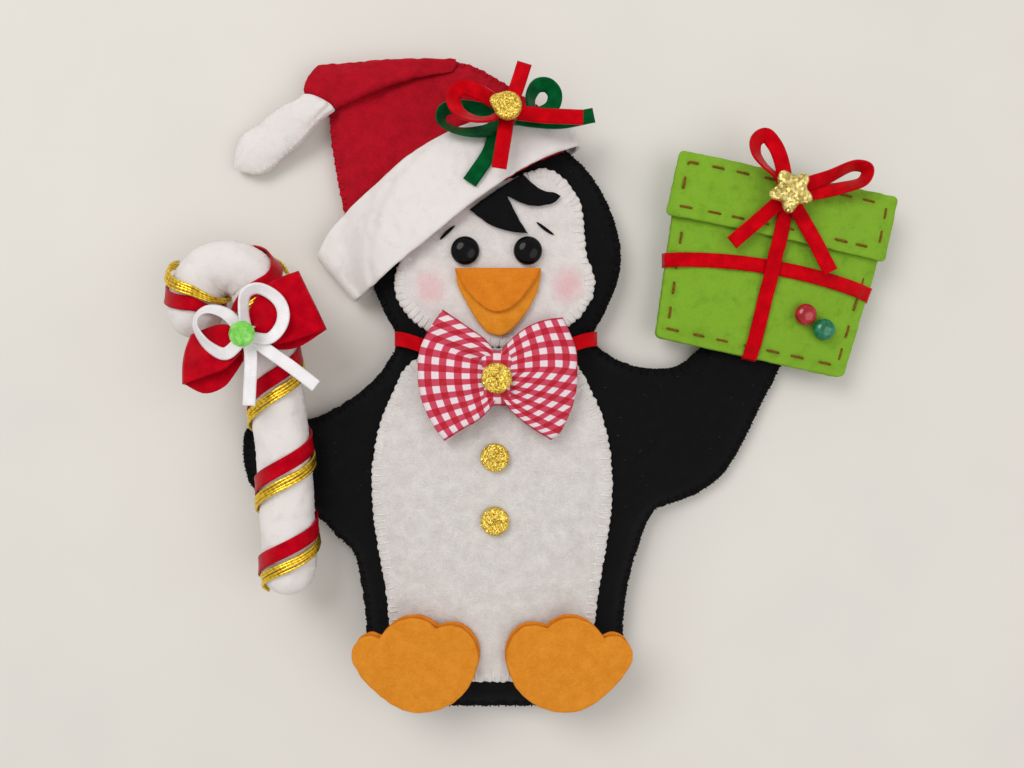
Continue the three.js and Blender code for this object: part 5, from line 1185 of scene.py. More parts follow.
def cutEdge(outline, seed):  # an edge cut by hand, without stitches
    return sewnEdge(outline, np.empty((0, 2)), 0, seed, rough=0.045)


def laidFelt(name, outline, under, skin, slot, node, on, **rest):
    sheet = feltSheet(name, outline, under, skin, slot, node, **rest)


# Face: hair locks, beak, eyes and brows

face = {
    "beakX": 1.1, "beakTopY": 72.1, "beakHalfWidth": 11.9, "beakDepth": 18.6, "upperBeakDepth": 12.1,
    "eyeX": 0.7, "eyeY": 77.2, "eyeSpacing": 17.4, "eyeRadius": 4, "eyeHeight": 3,
    "browThickness": 0.9, "hairX": 4, "hairY": 90, "hairWidth": 30, "hairHeight": 18,
    "hairLineStart": 0.53, "hairLineEnd": 0.755,
}
beakShares = [(1, 0), (0.97, -0.23), (0.8, -0.5), (0.57, -0.73), (0.27, -0.94), (0.02, -1),
              (-0.25, -0.94), (-0.53, -0.73), (-0.77, -0.46), (-0.93, -0.25), (-1, 0)]
upperBeakShares = [(1, 0), (0.88, -0.23), (0.65, -0.55), (0.37, -0.86), (0.06, -1), (-0.18, -0.97),
                   (-0.44, -0.8), (-0.72, -0.5), (-1, 0)]
firstLockShares = [(-0.257, -0.2), (-0.18, -0.295), (-0.067, -0.375), (0.066, -0.422), (0.18, -0.439)]
firstNotchShares = [(0.085, -0.183), (0.018, 0.039), (-0.02, 0.161)]
secondLockShares = [(0.085, 0.067), (0.151, 0.022), (0.247, -0.003), (0.34, 0.011), (0.437, 0.067),
                    (0.493, 0.161)]
hairTopShares = [(0.417, 0.211), (0.313, 0.239), (0.237, 0.333)]


def addBeak():
    layers = [
        ("beakLower", "beak_lower", beakShares, face["beakDepth"], secondUnder, "orangeFelt", "faceFelt", 83),
        ("beakUpper", "beak_upper", upperBeakShares, face["upperBeakDepth"], thirdUnder, "beakFelt",
         "beakLower", 84),
    ]
    for name, node, shares, depth, under, skin, on, seed in layers:
        points = place(shares, face["beakX"], face["beakTopY"], face["beakHalfWidth"], depth)
        outline = outlineOf([points, np.vstack([points[-1:], points[:1]])], 0.4)

        def relief(x, y, inner):
            return 0.4 * ease(0, 5.5, inner) + 0.06 * ripples(x, y, 4, seed) * ease(0, 2, inner)
        laidFelt(name, cutEdge(outline, seed), under, skin, "orange_felt", node, on, relief=relief, step=0.9)


def addEyes():
    bead = [(0, 0), (0.82, 0), (0.93, 0.03), (0.99, 0.12), (1, 0.26), (0.985, 0.4), (0.94, 0.54),
            (0.86, 0.67), (0.75, 0.78), (0.6, 0.88), (0.42, 0.95), (0.22, 0.99), (0, 1)]
    size = (face["eyeRadius"], face["eyeHeight"])
    for name, node, side in (("eyeLeft", "eye_left", -1), ("eyeRight", "eye_right", 1)):
        x = face["eyeX"] + side * face["eyeSpacing"] / 2
        foot = float(seatHeight(appliedTop, x, face["eyeY"], face["eyeRadius"])) - 0.2
        makeMesh(name, turnedParts(bead, size, x, face["eyeY"], foot), "blackBead", "black_bead", node)


def addBrows():
    rows = (("browLeft", "brow_left", -13.0, 82.4, 5.6, 43, 0.5),
            ("browRight", "brow_right", 14.3, 83.6, 5.9, -36, -0.5))
    for name, node, x, y, length, turn, arch in rows:
        share = np.linspace(-0.5, 0.5, 15)
        spots = place(np.column_stack([share, arch * (0.25 - share**2) / length]), x, y, length, length, turn)
        thick = face["browThickness"] / 2 * np.sqrt(1.05 - 4 * share**2)
        height = appliedTop(*spots.T) + goods["trimGap"] + face["browThickness"] / 2 - 0.25
        path = np.column_stack([spots, height])
        addTubes(name, [path], [thick], "blackThread", "black_felt", node, sides=10)


def addHair():
    first, notch, second, high = [
        place(shares, face["hairX"], face["hairY"], face["hairWidth"], face["hairHeight"])
        for shares in (firstLockShares, firstNotchShares, secondLockShares, hairTopShares)]
    line = pointAt(brimLow, np.linspace(face["hairLineStart"], face["hairLineEnd"], 5))
    line = line + belowBrim * (2 * hat["peek"] + goods["trimGap"])
    outline = outlineOf([
        np.vstack([line[:1], first]),
        np.vstack([first[-1:], notch]),
        np.vstack([notch[-1:], second]),
        np.vstack([second[-1:], high, line[-1:]]),
        line[::-1],
    ], 0.4)

    def relief(x, y, inner):
        return 0.12 * ripples(x, y, 5, 85) * ease(0, 2, inner) + 0.1 * ease(0, 2, inner)
    laidFelt("hair", cutEdge(outline, 86), secondUnder, "blackFelt", "black_felt", "hair_tuft",
             "faceFelt", relief=relief, step=0.9, rings=edgeRings[:4])


addBeak()
addEyes()
addBrows()
addHair()


# Feet: two flat felt layers each, tilted to lie on the belly's lower end

feet = {
    "width": 34.4, "height": 27.8, "leftX": -21.5, "rightX": 20.6, "y": -37.4,
    "tilt": 0.2, "roll": 0.1, "lap": 3.2, "peekX": 0.45, "peekY": 0.6,
}
footToeShares = [
    [(-0.28, 0.3), (-0.36, 0.33), (-0.44, 0.29), (-0.49, 0.2), (-0.5, 0.09), (-0.44, -0.07),
     (-0.34, -0.235), (-0.2, -0.39), (-0.06, -0.475), (0.09, -0.49), (0.235, -0.44), (0.335, -0.355),
     (0.42, -0.235), (0.47, -0.1), (0.5, 0.07), (0.48, 0.205), (0.43, 0.32), (0.345, 0.4),
     (0.25, 0.415), (0.17, 0.39)],
    [(0.17, 0.39), (0.09, 0.465), (-0.01, 0.5), (-0.12, 0.475), (-0.21, 0.4), (-0.28, 0.3)],
]
toeSlits = [(-0.28, 0.3, 62, 2.8), (0.17, 0.39, 96, 1.9)]  # place as shares, way of the slit, length


def lapTop(x, y):
    onBelly = edgeDistance(bellyOutline, x, y) > -feet["lap"]
    return np.where(onBelly, appliedTop(x, y), np.where(bodyDistance(x, y) > 0, frontTop(x, y), 0))


def addFoot(side, node, x, mirror, seed):
    toes = [place([(a * mirror, b) for a, b in shares], x, feet["y"], feet["width"], feet["height"])
            for shares in footToeShares]
    outline = outlineOf(toes, 0.5)

    def slope(px, py):
        return feet["tilt"] * (py - feet["y"]) - feet["roll"] * mirror * (px - x)
    spots = fillShape(outline, 3, (1.5,))[0]
    seat = float((lapTop(*spots.T) - slope(*spots.T)).max()) + goods["layerGap"]

    def relief(px, py, inner):
        lift = 0.2 * ripples(px, py, 15, seed) + 0.15 * ease(0, 6, inner)
        for a, b, way, long in toeSlits:
            start = place([(a * mirror, b)], x, feet["y"], feet["width"], feet["height"])[0]
            turn = (-way if mirror > 0 else way - 180) * degree
            along = (px - start[0]) * math.cos(turn) + (py - start[1]) * math.sin(turn)
            off = -(px - start[0]) * math.sin(turn) + (py - start[1]) * math.cos(turn)
            inSlit = ease(-0.5, 0.2, along) * (1 - ease(long * 0.5, long, along))
            lift = lift - 0.6 * np.exp(-(off / 0.35) ** 2) * inSlit
        return lift
    # the back layer peeks out past the front one and takes the darker orange: painted shade along its visible
    # rim, under the front layer
    back = outline + (feet["peekX"] * mirror, feet["peekY"])
    laidFelt(side + "FootBack", cutEdge(back, seed + 1), lambda px, py: seat + slope(px, py), "beakFelt",
             "orange_felt", node + "_back", "bellyFelt", step=1.6)
    raised = felt + goods["seamGap"]
    laidFelt(side + "FootFront", cutEdge(outline, seed + 2), lambda px, py: seat + raised + slope(px, py),
             "orangeFelt", "orange_felt", node + "_front", side + "FootBack", relief=relief, step=0.9)


addFoot("left", "left_foot", feet["leftX"], 1, 91)
addFoot("right", "right_foot", feet["rightX"], -1, 95)
print("face and feet are on")


# Satin ribbons and bows

neck = {
    "halfWidth": 28.1, "x": 0.5, "y": 52.9, "dip": 6.8, "sag": 1.6, "reach": 0.5, "clear": 3.2,
    "width": goods["satinWidth"],
}


def addNeckRibbon():
    def edge(side):
        def spot(share, under):
            x = mix(-neck["halfWidth"], neck["halfWidth"], share)
            inside = max(0, 1 - (x / neck["halfWidth"]) ** 2)
            dip = 0 if under else neck["dip"] * inside ** neck["sag"]
            return np.array([x + neck["x"], neck["y"] - dip + side * neck["width"] / 2])
        return spot

    def underRibbon(x, y):
        over = 1 - ease(patches["faceHalfWidth"] * 0.88, neck["halfWidth"], np.abs(x))
        return frontTop(x, y) + (felt + goods["layerGap"]) * over

    def front(x, y):
        return seatHeight(underRibbon, x, y, neck["clear"]) + goods["satin"] / 2

    def back(x, y):
        return seatUnder(backUnder, x, y, neck["clear"]) - goods["satin"] / 2
    shares = np.array([0, 0.04, 0.25, 0.5, 0.75, 0.96, 1])
    grid = bandRound(edge(-1), edge(1), front, back, shares, neck["reach"], 48, 10)
    parts = clothParts(grid, goods["satin"], wrap=True)
    makeMesh("neckRibbon", parts, "redSatin", "red_satin", "neck_ribbon")


# A ribbon laid along a line seen from above, at the given heights, tipped by a few degrees
def ribbonAlong(flat, heights, width, tilt=0.0):
    line = np.column_stack([flat, heights])
    along = unit(np.gradient(line, axis=0))
    side = unit(np.cross(np.array([[0, 0, 1.0]]), along))
    lean = np.broadcast_to(tilt, len(line))[:, None] * degree
    across = side * np.cos(lean) + np.cross(along, side) * np.sin(lean)
    return ribbonParts(line, across, width)


# The short band that ties a bow: up and over its middle, gathered across
def knotBand(x, y, halfX, halfY, foot, height, thickness, gathers=0.0, turn=0.0):
    t = np.linspace(0, 1, 23)[:, None]
    s = np.linspace(-1, 1, 15)[None]
    localX = halfX * s * (1 + 0.16 * np.cos(math.pi * 2 * t))
    localY = -halfY * np.cos(math.pi * t) + 0 * s
    rise = height * np.sin(math.pi * t) ** 0.5 * (1 - 0.3 * s**4)
    rise = rise + gathers * np.cos(s * 8.5 + 0.8) * np.sin(math.pi * t)
    c, sn = math.cos(turn * degree), math.sin(turn * degree)
    grid = np.stack([x + localX * c - localY * sn, y + localX * sn + localY * c, foot + rise], axis=-1)
    return clothParts(grid, thickness)


# A bow's loop: cloth that runs out over its own start, turns over and comes back below
def foldedLoop(x, y, spans, loop, base, lift, fold, flatWidth, thickness, pleat, folds):
    high, low, far, under = loop["high"], loop["low"], loop["far"], loop.get("under", loop["low"])
    crease = loop.get("crease")

    def edge(shares, steps):
        return pointAt(smoothLine(place(shares, x, y, *spans), 0.1), steps)
    v = np.linspace(0, 1, 25)
    length = np.linalg.norm(place([high[-1]], x, y, *spans)[0] - place([high[0]], x, y, *spans)[0])
    most = 1 - fold / length
    turns = np.linspace(90, -90, 11)[1:-1] * degree
    u = np.r_[np.linspace(0, most, 30), most + (1 - most) * np.cos(turns), np.linspace(most, 0.04, 16)]
    rise = np.r_[np.ones(30), np.sin(turns), -np.ones(16)]

    def patch(lowShares):
        a, b, c, d = edge(lowShares, u), edge(high, u), edge([lowShares[0], high[0]], v), edge(far, v)
        out, up = u[:, None, None], v[None, :, None]
        flat = (1 - up) * a[:, None] + up * b[:, None] + (1 - out) * c[None] + out * d[None]
        corners = (1 - out) * ((1 - up) * c[0] + up * c[-1]) + out * ((1 - up) * d[0] + up * d[-1])
        return flat - corners
    below = ((1 - rise) / 2)[:, None, None]
    flat = patch(low) * (1 - below) + patch(under) * below
    upper = np.maximum(rise, 0)[:, None]
    reach = np.clip(u / most, 0, 1)[:, None]
    swell = lift * np.sin(math.pi * reach**0.85) * (rise[:, None] > 0.99) * (1 - 0.35 * (2 * v[None] - 1) ** 2)
    creases = pleat * np.exp(-reach / 0.42) * np.cos((2 * v[None] - 1) * folds + 0.5) * upper
    long = 0.4 * pleat * np.sin(reach * math.pi) * np.sin((v[None] - 0.2) * folds * 0.9) * upper
    height = base(flat[..., 0], flat[..., 1]) + thickness + fold * (1 + rise[:, None]) + swell + creases + long
    slant = 0
    if crease:
        beside = crease["side"] * (v[None] - mix(crease["knot"], crease["far"], reach))
        held = np.exp(-(beside / crease["width"]) ** 2) * np.sin(math.pi * np.minimum(reach / crease["end"], 1))
        height = height - crease["depth"] * held * upper
        slant = crease["slant"] * flatWidth * np.maximum(beside, 0)
    grid = np.concatenate([flat, height[..., None]], axis=-1)
    runs = np.linalg.norm(np.diff(grid, axis=0), axis=2).mean(1)
    cloth = np.zeros(grid.shape)
    cloth[..., 0] = np.r_[0, np.cumsum(runs)][:, None] + slant
    cloth[..., 1] = (v[None] - 0.5) * flatWidth
    return clothParts(grid, thickness, cloth=cloth)


bowTie = {
    "x": 0.9, "y": 41.8, "spans": (22, 17.5), "width": 35, "thickness": 0.6,
    "lift": 1.9, "fold": 1.25, "pleat": 0.95, "folds": 7.5,
    "knotHalfX": 4.2, "knotHalfY": 7.3, "knotHeight": 5.0, "knotRise": 0.3, "gathers": 0.22,
}
bowTieLoops = [
    {
        "high": [(-0.02, 0.38), (-0.15, 0.6), (-0.34, 0.78), (-0.52, 0.94), (-0.67, 1.07)],
        "low": [(-0.02, -0.33), (-0.11, -0.51), (-0.24, -0.66), (-0.39, -0.77), (-0.64, -0.97)],
        "far": [(-0.64, -0.97), (-0.76, -0.77), (-0.89, -0.47), (-0.96, -0.18), (-0.98, 0.13), (-0.96, 0.44),
                (-0.86, 0.72), (-0.76, 0.91), (-0.67, 1.07)],
        "crease": {"knot": 0.66, "far": 0.78, "width": 0.05, "depth": 1.5, "end": 1.15, "side": 1,
                   "slant": 0.9},
    },
    {
        "high": [(0.04, 0.38), (0.11, 0.5), (0.24, 0.67), (0.41, 0.82), (0.6, 0.91), (0.81, 0.95)],
        "low": [(0.06, -0.28), (0.16, -0.48), (0.34, -0.69), (0.51, -0.84), (0.66, -0.95)],
        "far": [(0.66, -0.95), (0.76, -0.86), (0.86, -0.64), (0.93, -0.42), (0.98, -0.14), (0.99, 0.18),
                (0.98, 0.44), (0.91, 0.69), (0.81, 0.95)],
        "crease": {"knot": 0.5, "far": 0.6, "width": 0.06, "depth": 1.4, "end": 0.8, "side": -1,
                   "slant": 0.8},
    },
]


def chestTop(x, y):
    return seatHeight(appliedTop, x, y, neck["clear"]) + goods["satin"] + 2 * goods["trimGap"]


def addBowTie():
    parts = []
    for loop in bowTieLoops:
        parts.append(foldedLoop(bowTie["x"], bowTie["y"], bowTie["spans"], loop, chestTop, bowTie["lift"],
                                bowTie["fold"], bowTie["width"], bowTie["thickness"], bowTie["pleat"],
                                bowTie["folds"]))
    foot = float(chestTop(bowTie["x"], bowTie["y"])) + bowTie["knotRise"]
    parts.append(knotBand(bowTie["x"], bowTie["y"], bowTie["knotHalfX"], bowTie["knotHalfY"], foot,
                          bowTie["knotHeight"], bowTie["thickness"], bowTie["gathers"]))
    bow = makeMesh("bowTie", joinParts(parts), "gingham", "gingham_cotton", "bow_tie")


# Gold buttons: discs rough with glitter
buttons = {
    "bowRadius": 4.1, "radius": 3.9, "height": 1.6, "x": 0.3, "upperY": 20, "lowerY": 2.5, "grain": 0.07,
}


def glitterDisc(name, node, radius, height, x, y, foot, seed, squeeze=None, skin="glitter", grain=1.0):
    rim = [(0, 0), (0.93, 0), (0.98, 0.06), (1.0, 0.25), (1.0, 0.55), (0.985, 0.8), (0.93, 0.96)]
    top = [(share, 1 + 0.06 * (1 - share))
           for share in (0.84, 0.74, 0.64, 0.54, 0.44, 0.34, 0.24, 0.14, 0.06, 0)]
    points, faces = turnedParts(rim + top, (radius, height), x, y, foot, 48, squeeze)
    rng = np.random.default_rng(seed)
    points[49:] += rng.normal(0, buttons["grain"] * grain, (len(points) - 49, 3))
    makeMesh(name, (points, faces), skin, "gold_glitter", node)


addNeckRibbon()
addBowTie()
bowSeat = float(chestTop(bowTie["x"], bowTie["y"])) + bowTie["knotHeight"] + 0.9
glitterDisc("bowButton", "bow_button", buttons["bowRadius"], buttons["height"], bowTie["x"], bowTie["y"],
            bowSeat, 101)
for name, node, y in (("buttonUpper", "belly_button_upper", buttons["upperY"]),
                      ("buttonLower", "belly_button_lower", buttons["lowerY"])):
    foot = float(seatHeight(appliedTop, buttons["x"], y, buttons["radius"]))
    glitterDisc(name, node, buttons["radius"], buttons["height"], buttons["x"], y, foot, 102)


hatBow = {"x": 3.9, "y": 114.7, "span": 24, "droop": 2, "knot": 2.0, "gem": 4, "gemHeight": 2.4}
twist = {"tilt": 34, "swing": 24, "start": 0.15, "step": 0.3}
greenLoopShares = [
    [(0.06, 0), (0.25, 0.06), (0.26, 0.21), (0.34, 0.34), (0.46, 0.35), (0.54, 0.26), (0.52, 0.13),
     (0.42, 0.05), (0.08, -0.03)],
    [(-0.06, -0.03), (-0.2, -0.17), (-0.43, -0.21), (-0.63, -0.17), (-0.77, -0.07), (-0.75, 0.05),
     (-0.62, 0.1), (-0.06, 0.03)],
]
greenTailShares = [
    [(-0.12, -0.17), (-0.22, -0.46), (-0.44, -0.8)],
    [(0.3, -0.04), (0.6, -0.05), (1, 0.03)],
]
redLoopShares = [
    [(-0.06, -0.03), (-0.2, -0.11), (-0.38, -0.11), (-0.57, 0), (-0.62, 0.17), (-0.52, 0.27),
     (-0.34, 0.22), (-0.06, 0.04)],
]
redTailShares = [
    [(0.1, 0.28), (0.19, 0.57)],
    [(-0.05, -0.35), (-0.1, -0.68)],
    [(0.36, -0.04), (0.86, -0.05)],
]


# The height a bow's loops take up, tipped as they are
def loopHeight(width):
    return width * math.sin((twist["tilt"] + twist["swing"]) * degree) + 2 * goods["satin"]


def satinBow(name, node, skin, slot, x, y, span, width, surface, seat, droop, loops, tails, knotHeight,
             tailSpan=None, knot=hatBow["knot"]):
    parts = []
    for number, shares in enumerate(loops):
        flat = smoothLine(place(shares, x, y, span, span), 0.45)
        share = np.linspace(0, 1, len(flat))
        turns = share - twist["start"] - twist["step"] * number
        tilt = twist["tilt"] + twist["swing"] * np.cos(turns * 2 * math.pi)
        half = width / 2 * np.sin(tilt * degree) + goods["satin"]
        heights = np.maximum(seat, surface(*flat.T)) + half
        parts.append(ribbonAlong(flat, heights + 0.3 * np.sin(share * 2 * math.pi), width, tilt))
    for shares in tails:
        flat = smoothLine(np.vstack([[(x, y)], place(shares, x, y, tailSpan or span, tailSpan or span)]), 0.45)
        share = np.linspace(0, 1, len(flat))
        hung = np.maximum(surface(*flat.T), seat + goods["satin"] - droop * share)
        wave = 0.3 * np.sin(share * 7 + len(flat)) * share * (1 - 0.4 * share)
        parts.append(ribbonAlong(flat, hung + goods["satin"] + np.abs(wave), width))
    parts.append(knotBand(x, y, knot, knot * 1.05, seat, knotHeight + goods["satin"], goods["satin"], 0.12))
    makeMesh(name, joinParts(parts), skin, slot, node)


def addHatBow():
    width = goods["satinWidth"]
    height = loopHeight(width)
    seat = float(seatHeight(brimTop, hatBow["x"], hatBow["y"], 3))

    def green(x, y):
        return seatHeight(brimTop, x, y, width / 2)

    def red(x, y):
        return green(x, y) + height + 2 * goods["trimGap"]
    redSeat = seat + height + 2 * goods["trimGap"]
    satinBow("hatBowGreen", "hat_ribbon_green", "greenSatin", "green_satin", hatBow["x"], hatBow["y"],
             hatBow["span"], width, green, seat, hatBow["droop"], greenLoopShares, greenTailShares, height)
    satinBow("hatBowRed", "hat_ribbon_red", "redSatin", "red_satin", hatBow["x"], hatBow["y"],
             hatBow["span"], width, red, redSeat, hatBow["droop"], redLoopShares, redTailShares, height)

    def drop(angle):
        away = np.abs((angle - 2.75 + math.pi) % (2 * math.pi) - math.pi)
        return 0.94 + 0.36 * np.exp(-(away / 0.42) ** 2)
    glitterDisc("hatGem", "hat_gem", hatBow["gem"], hatBow["gemHeight"], hatBow["x"], hatBow["y"],
                redSeat + height + goods["trimGap"] + goods["satin"], 103, drop, grain=0.4)


addHatBow()
print("bows are tied")


# Gift: a flat lime pouch with a lid flap, seated on the right wing's tip

gift = {
    "x": 78.4, "y": 72.7, "turn": -12.4, "width": 62.6, "footWidth": 55, "height": 51, "puff": 0.2,
    "lidX": -0.5, "lidY": 18.5, "lidWidth": 63.6, "lidHeight": 19, "lidClear": 3.2, "lidStep": 2,
    "bandY": -2, "bandBow": 2.6, "bowX": -1, "bowY": 20.9, "bowSpan": 22,
    "star": 6.2, "starHeight": 2, "starTurn": 28, "bead": 3.1, "beadHeight": 3.4,
    "dash": 3.4, "dashGap": 3.9, "stitchInset": 3.0, "stitch": 0.36, "corner": 1.3, "bandReach": 0.4,
    "bandDrop": 2.2,
}
lidFoot = gift["lidY"] - gift["lidHeight"] / 2
giftUpLoopShares = [(-0.06, 0.06), (-0.15, 0.22), (-0.3, 0.36), (-0.4, 0.52), (-0.39, 0.68), (-0.27, 0.755),
                    (-0.15, 0.64), (-0.07, 0.455), (-0.01, 0.06)]
giftSideLoopShares = [(0.05, 0.04), (0.24, 0.12), (0.51, 0.21), (0.86, 0.355), (1.01, 0.31), (0.97, 0.17),
                      (0.7, 0.08), (0.06, -0.02)]
giftTailShares = [
    [(-0.11, -0.11), (-0.43, -0.39), (-0.7, -0.62)],
    [(0.1, -0.14), (0.33, -0.55), (0.56, -0.99)],
]


def giftSpot(spots):
    return place(spots, gift["x"], gift["y"], 1, 1, gift["turn"])


def giftPanel(x, y, width, height, footWidth=None):
    foot = (footWidth or width) / width / 2
    shares = np.array([(-foot, -0.5), (foot, -0.5), (0.5, 0.5), (-0.5, 0.5)])
    corners = giftSpot(shares * (width, height) + (x, y))
    sides = []
    for i in range(4):
        start, end, following = corners[i], corners[(i + 1) % 4], corners[(i + 2) % 4]
        way, turned = unit(end - start) * gift["corner"], unit(following - end) * gift["corner"]
        sides.append(np.vstack([start + way, end - way]))
        sides.append(np.vstack([end - way, end + (turned - way) * 0.3, end + turned]))
    return outlineOf(sides, 0.7)


giftOutline = giftPanel(0, 0, gift["width"], gift["height"], gift["footWidth"])
_, giftRise = stuffed(giftOutline)
wingSpots = fillShape(bodyOutline, 4, (2,))[0]
nearGift = edgeDistance(giftOutline, *wingSpots.T) > -feet["lap"]
giftBase = float(frontTop(*wingSpots[nearGift].T).max()) + goods["trimGap"]


def giftFrontUnder(x, y):
    return giftBase + felt + goods["seamGap"] + gift["puff"] * giftRise(x, y)


def giftTop(x, y):
    return giftFrontUnder(x, y) + felt


def giftLidUnder(x, y):
    return seatHeight(giftTop, x, y, gift["lidClear"])


def giftLidTop(x, y):
    return giftLidUnder(x, y) + felt


# Running stitches: dashes that come up through the felt and go down again
def runningStitches(outline, surface, keep, seed):
    rng = np.random.default_rng(seed)
    inner = outline + inwards(outline) * gift["stitchInset"]
    inner = inner[edgeDistance(outline, *inner.T) > gift["stitchInset"] * 0.96]
    closed = np.vstack([inner, inner[:1]])
    run = runOf(closed)
    along = np.array([0, 0.06, 0.25, 0.5, 0.75, 0.94, 1])
    lift = np.array([-0.7, -0.12, 0.08, 0.14, 0.08, -0.12, -0.7])
    paths = []
    for start in np.arange(0, run[-1] - gift["dash"], gift["dash"] + gift["dashGap"]):
        start = start + rng.uniform(-0.5, 0.5)
        spots = readLine(start + gift["dash"] * (0.9 + 0.2 * rng.random()) * along, run, closed)
        if keep(spots):
            paths.append(np.column_stack([spots, surface(*spots.T) + lift]))
    return paths


def giftLocal(spots):
    return place(np.asarray(spots) - (gift["x"], gift["y"]), 0, 0, 1, 1, -gift["turn"])


# The stitches of a gift panel, and its surface: hollow at their ends and softly uneven
def sewnGiftPanel(outline, surface, keep, seed, wave, swell):
    paths = runningStitches(outline, surface, keep, seed)
    pressed = stitchHollows(np.array([path[i][:2] for path in paths for i in (0, -1)]), 0.28, 0.7)

    def relief(x, y, inner):
        held = pressed(x, y, np.zeros(np.shape(x)))
        return held + swell * ripples(x, y, wave, seed + 1) + 0.05 * ripples(x, y, 4, seed + 2)
    return paths, relief


def addGiftPanels():
    lid = giftPanel(gift["lidX"], gift["lidY"], gift["lidWidth"], gift["lidHeight"])
    laidFelt("giftBack", cutEdge(giftOutline, 111), lambda x, y: giftBase + 0 * x, "limeFelt", "lime_felt",
             "gift_back", "frontFelt", step=2.2)
    paths, relief = sewnGiftPanel(giftOutline, giftTop,
                                  lambda s: (giftLocal(s)[:, 1] < lidFoot - 0.8).all(), 112, 13, 0.16)
    front = feltSheet("giftFront", cutEdge(giftOutline, 115), giftFrontUnder, "limeFelt", "lime_felt",
                      "gift_front", "gift_padding", relief=relief, step=1.0)
    lidPaths, relief = sewnGiftPanel(lid, giftLidTop, lambda s: True, 116, 11, 0.14)
    laidFelt("giftLid", cutEdge(lid, 119), giftLidUnder, "limeFelt", "lime_felt", "gift_lid", "giftFront",
             relief=relief, step=1.0)
    addTubes("giftStitches", paths + lidPaths, gift["stitch"], "maroonThread", "gold_thread", sides=8)


def addGiftBands():
    width = goods["satinWidth"]
    low = goods["trimGap"] + goods["satin"] / 2
    ends = np.array([0.3, 0.65, 1])  # steps of the short turn over the gift's edge
    half = mix(gift["footWidth"], gift["width"], 0.5 + gift["bandY"] / gift["height"]) / 2
    beyond = gift["bandReach"] / half * ends
    share = np.r_[-beyond[::-1], np.linspace(0, 1, 66), 1 + beyond]
    x = mix(-half, half, share)
    bowed = gift["bandBow"] * (1 - ((x - half / 4) / half) ** 2)
    flat = giftSpot(np.column_stack([x, gift["bandY"] + bowed]))
    over = np.maximum(np.abs(share - 0.5) - 0.5, 0) / beyond[-1]
    heights = giftTop(*flat.T) + low - gift["bandDrop"] * over**1.5
    makeMesh("giftBandAcross", ribbonAlong(flat, heights, width), "redSatin", "red_satin",
             "gift_band_horizontal")
    beyond = gift["bandReach"] / gift["height"] * 2 * ends
    share = np.r_[-beyond[::-1], np.linspace(0, 1, 60)]
    y = mix(-gift["height"] / 2, gift["lidY"], share)
    flat = giftSpot(np.column_stack([0 * y, y]))
    onLid = ease(lidFoot - gift["lidStep"] - width, lidFoot - gift["lidStep"], y)
    overLid = onLid * (giftLidTop(*flat.T) - giftTop(*flat.T))
    apart = np.abs(y - gift["bandY"] - gift["bandBow"])
    overBand = (goods["satin"] + goods["trimGap"]) * (1 - ease(width, 2 * width, apart))
    heights = giftTop(*flat.T) + low + np.maximum(overLid, overBand)
    heights = heights - gift["bandDrop"] * (np.maximum(-share, 0) / beyond[-1]) ** 1.5
    makeMesh("giftBandDown", ribbonAlong(flat, heights, width), "redSatin", "red_satin",
             "gift_band_vertical")


def addGiftTrims():
    x, y = giftSpot([(gift["bowX"], gift["bowY"])])[0]
    height = loopHeight(goods["satinWidth"])

    def surface(px, py):
        return giftLidTop(px, py) + goods["satin"] + 2 * goods["trimGap"]
    seat = float(surface(x, y))
    satinBow("giftBow", "gift_bow", "redSatin", "red_satin", x, y, gift["bowSpan"], goods["satinWidth"],
             surface, seat, 0, [giftUpLoopShares, giftSideLoopShares], giftTailShares, height)

    def petals(angle):
        return 0.83 + 0.17 * np.cos(5 * (angle - (90 + gift["starTurn"]) * degree))
    glitterDisc("giftStar", "gift_star", gift["star"], gift["starHeight"], x, y,
                seat + height + goods["satin"] + goods["trimGap"], 121, petals, "paleGold", 0.5)
    bead = [(0, 0), (0.62, 0), (0.85, 0.1), (0.97, 0.27), (1, 0.42), (0.97, 0.58), (0.88, 0.74), (0.72, 0.87),
            (0.48, 0.96), (0.22, 0.995), (0, 1)]
    for name, node, skin, slot, spot in (
            ("giftBeadRed", "gift_bead_red", "redBead", "red_bead", (11.9, -10.6)),
            ("giftBeadGreen", "gift_bead_green", "greenBead", "green_bead", (18.0, -13.6))):
        px, py = giftSpot([spot])[0]
        foot = float(seatHeight(giftTop, px, py, gift["bead"]))
        parts = turnedParts(bead, (gift["bead"], gift["beadHeight"]), px, py, foot, 32)
        makeMesh(name, parts, skin, slot, node)


addGiftPanels()
addGiftBands()
addGiftTrims()
print("gift is wrapped")


# Cane: two sewn felt halves, hooked, lying across the left wing's tip

cane = {
    "x": -57.2, "y": -18.6, "rise": 82.4, "lean": 8.3, "hookDrop": 10.6, "hookRadius": 9,
    "halfWidth": 7.6, "halfHeight": 6.2, "tip": 8, "windGap": 0.45, "cordWidth": 3.1, "cord": 1.1,
    "cordOffset": 4.8, "cordHookOffset": 3.7, "wrapGap": 0.3, "hookStart": 70, "hookEnd": 80,
    "hookPinch": 0.62, "leastRound": 0.12, "seamRound": 0.0004, "pitch": 2.6, "stitch": 0.17, "strand": 0.4,
}
caneStemShares = [(0, 0), (-0.045, 0.185), (-0.155, 0.4), (-0.36, 0.61), (-0.66, 0.825)]
caneEndShares = [(0.01, -0.5), (0.07, -1)]
windTurnShares = np.array([(-0.28, 0.055), (0, 0.109), (1, 0.294), (2, 0.4925), (3, 0.697), (3.25, 0.735),
                           (3.5, 0.825), (3.75, 0.926), (4, 0.925), (4.3, 0.9)])
hookX = cane["x"] - cane["lean"] - cane["hookRadius"]
hookY = cane["y"] + cane["rise"]
hookTurns = np.arange(0, 181, 30) * degree
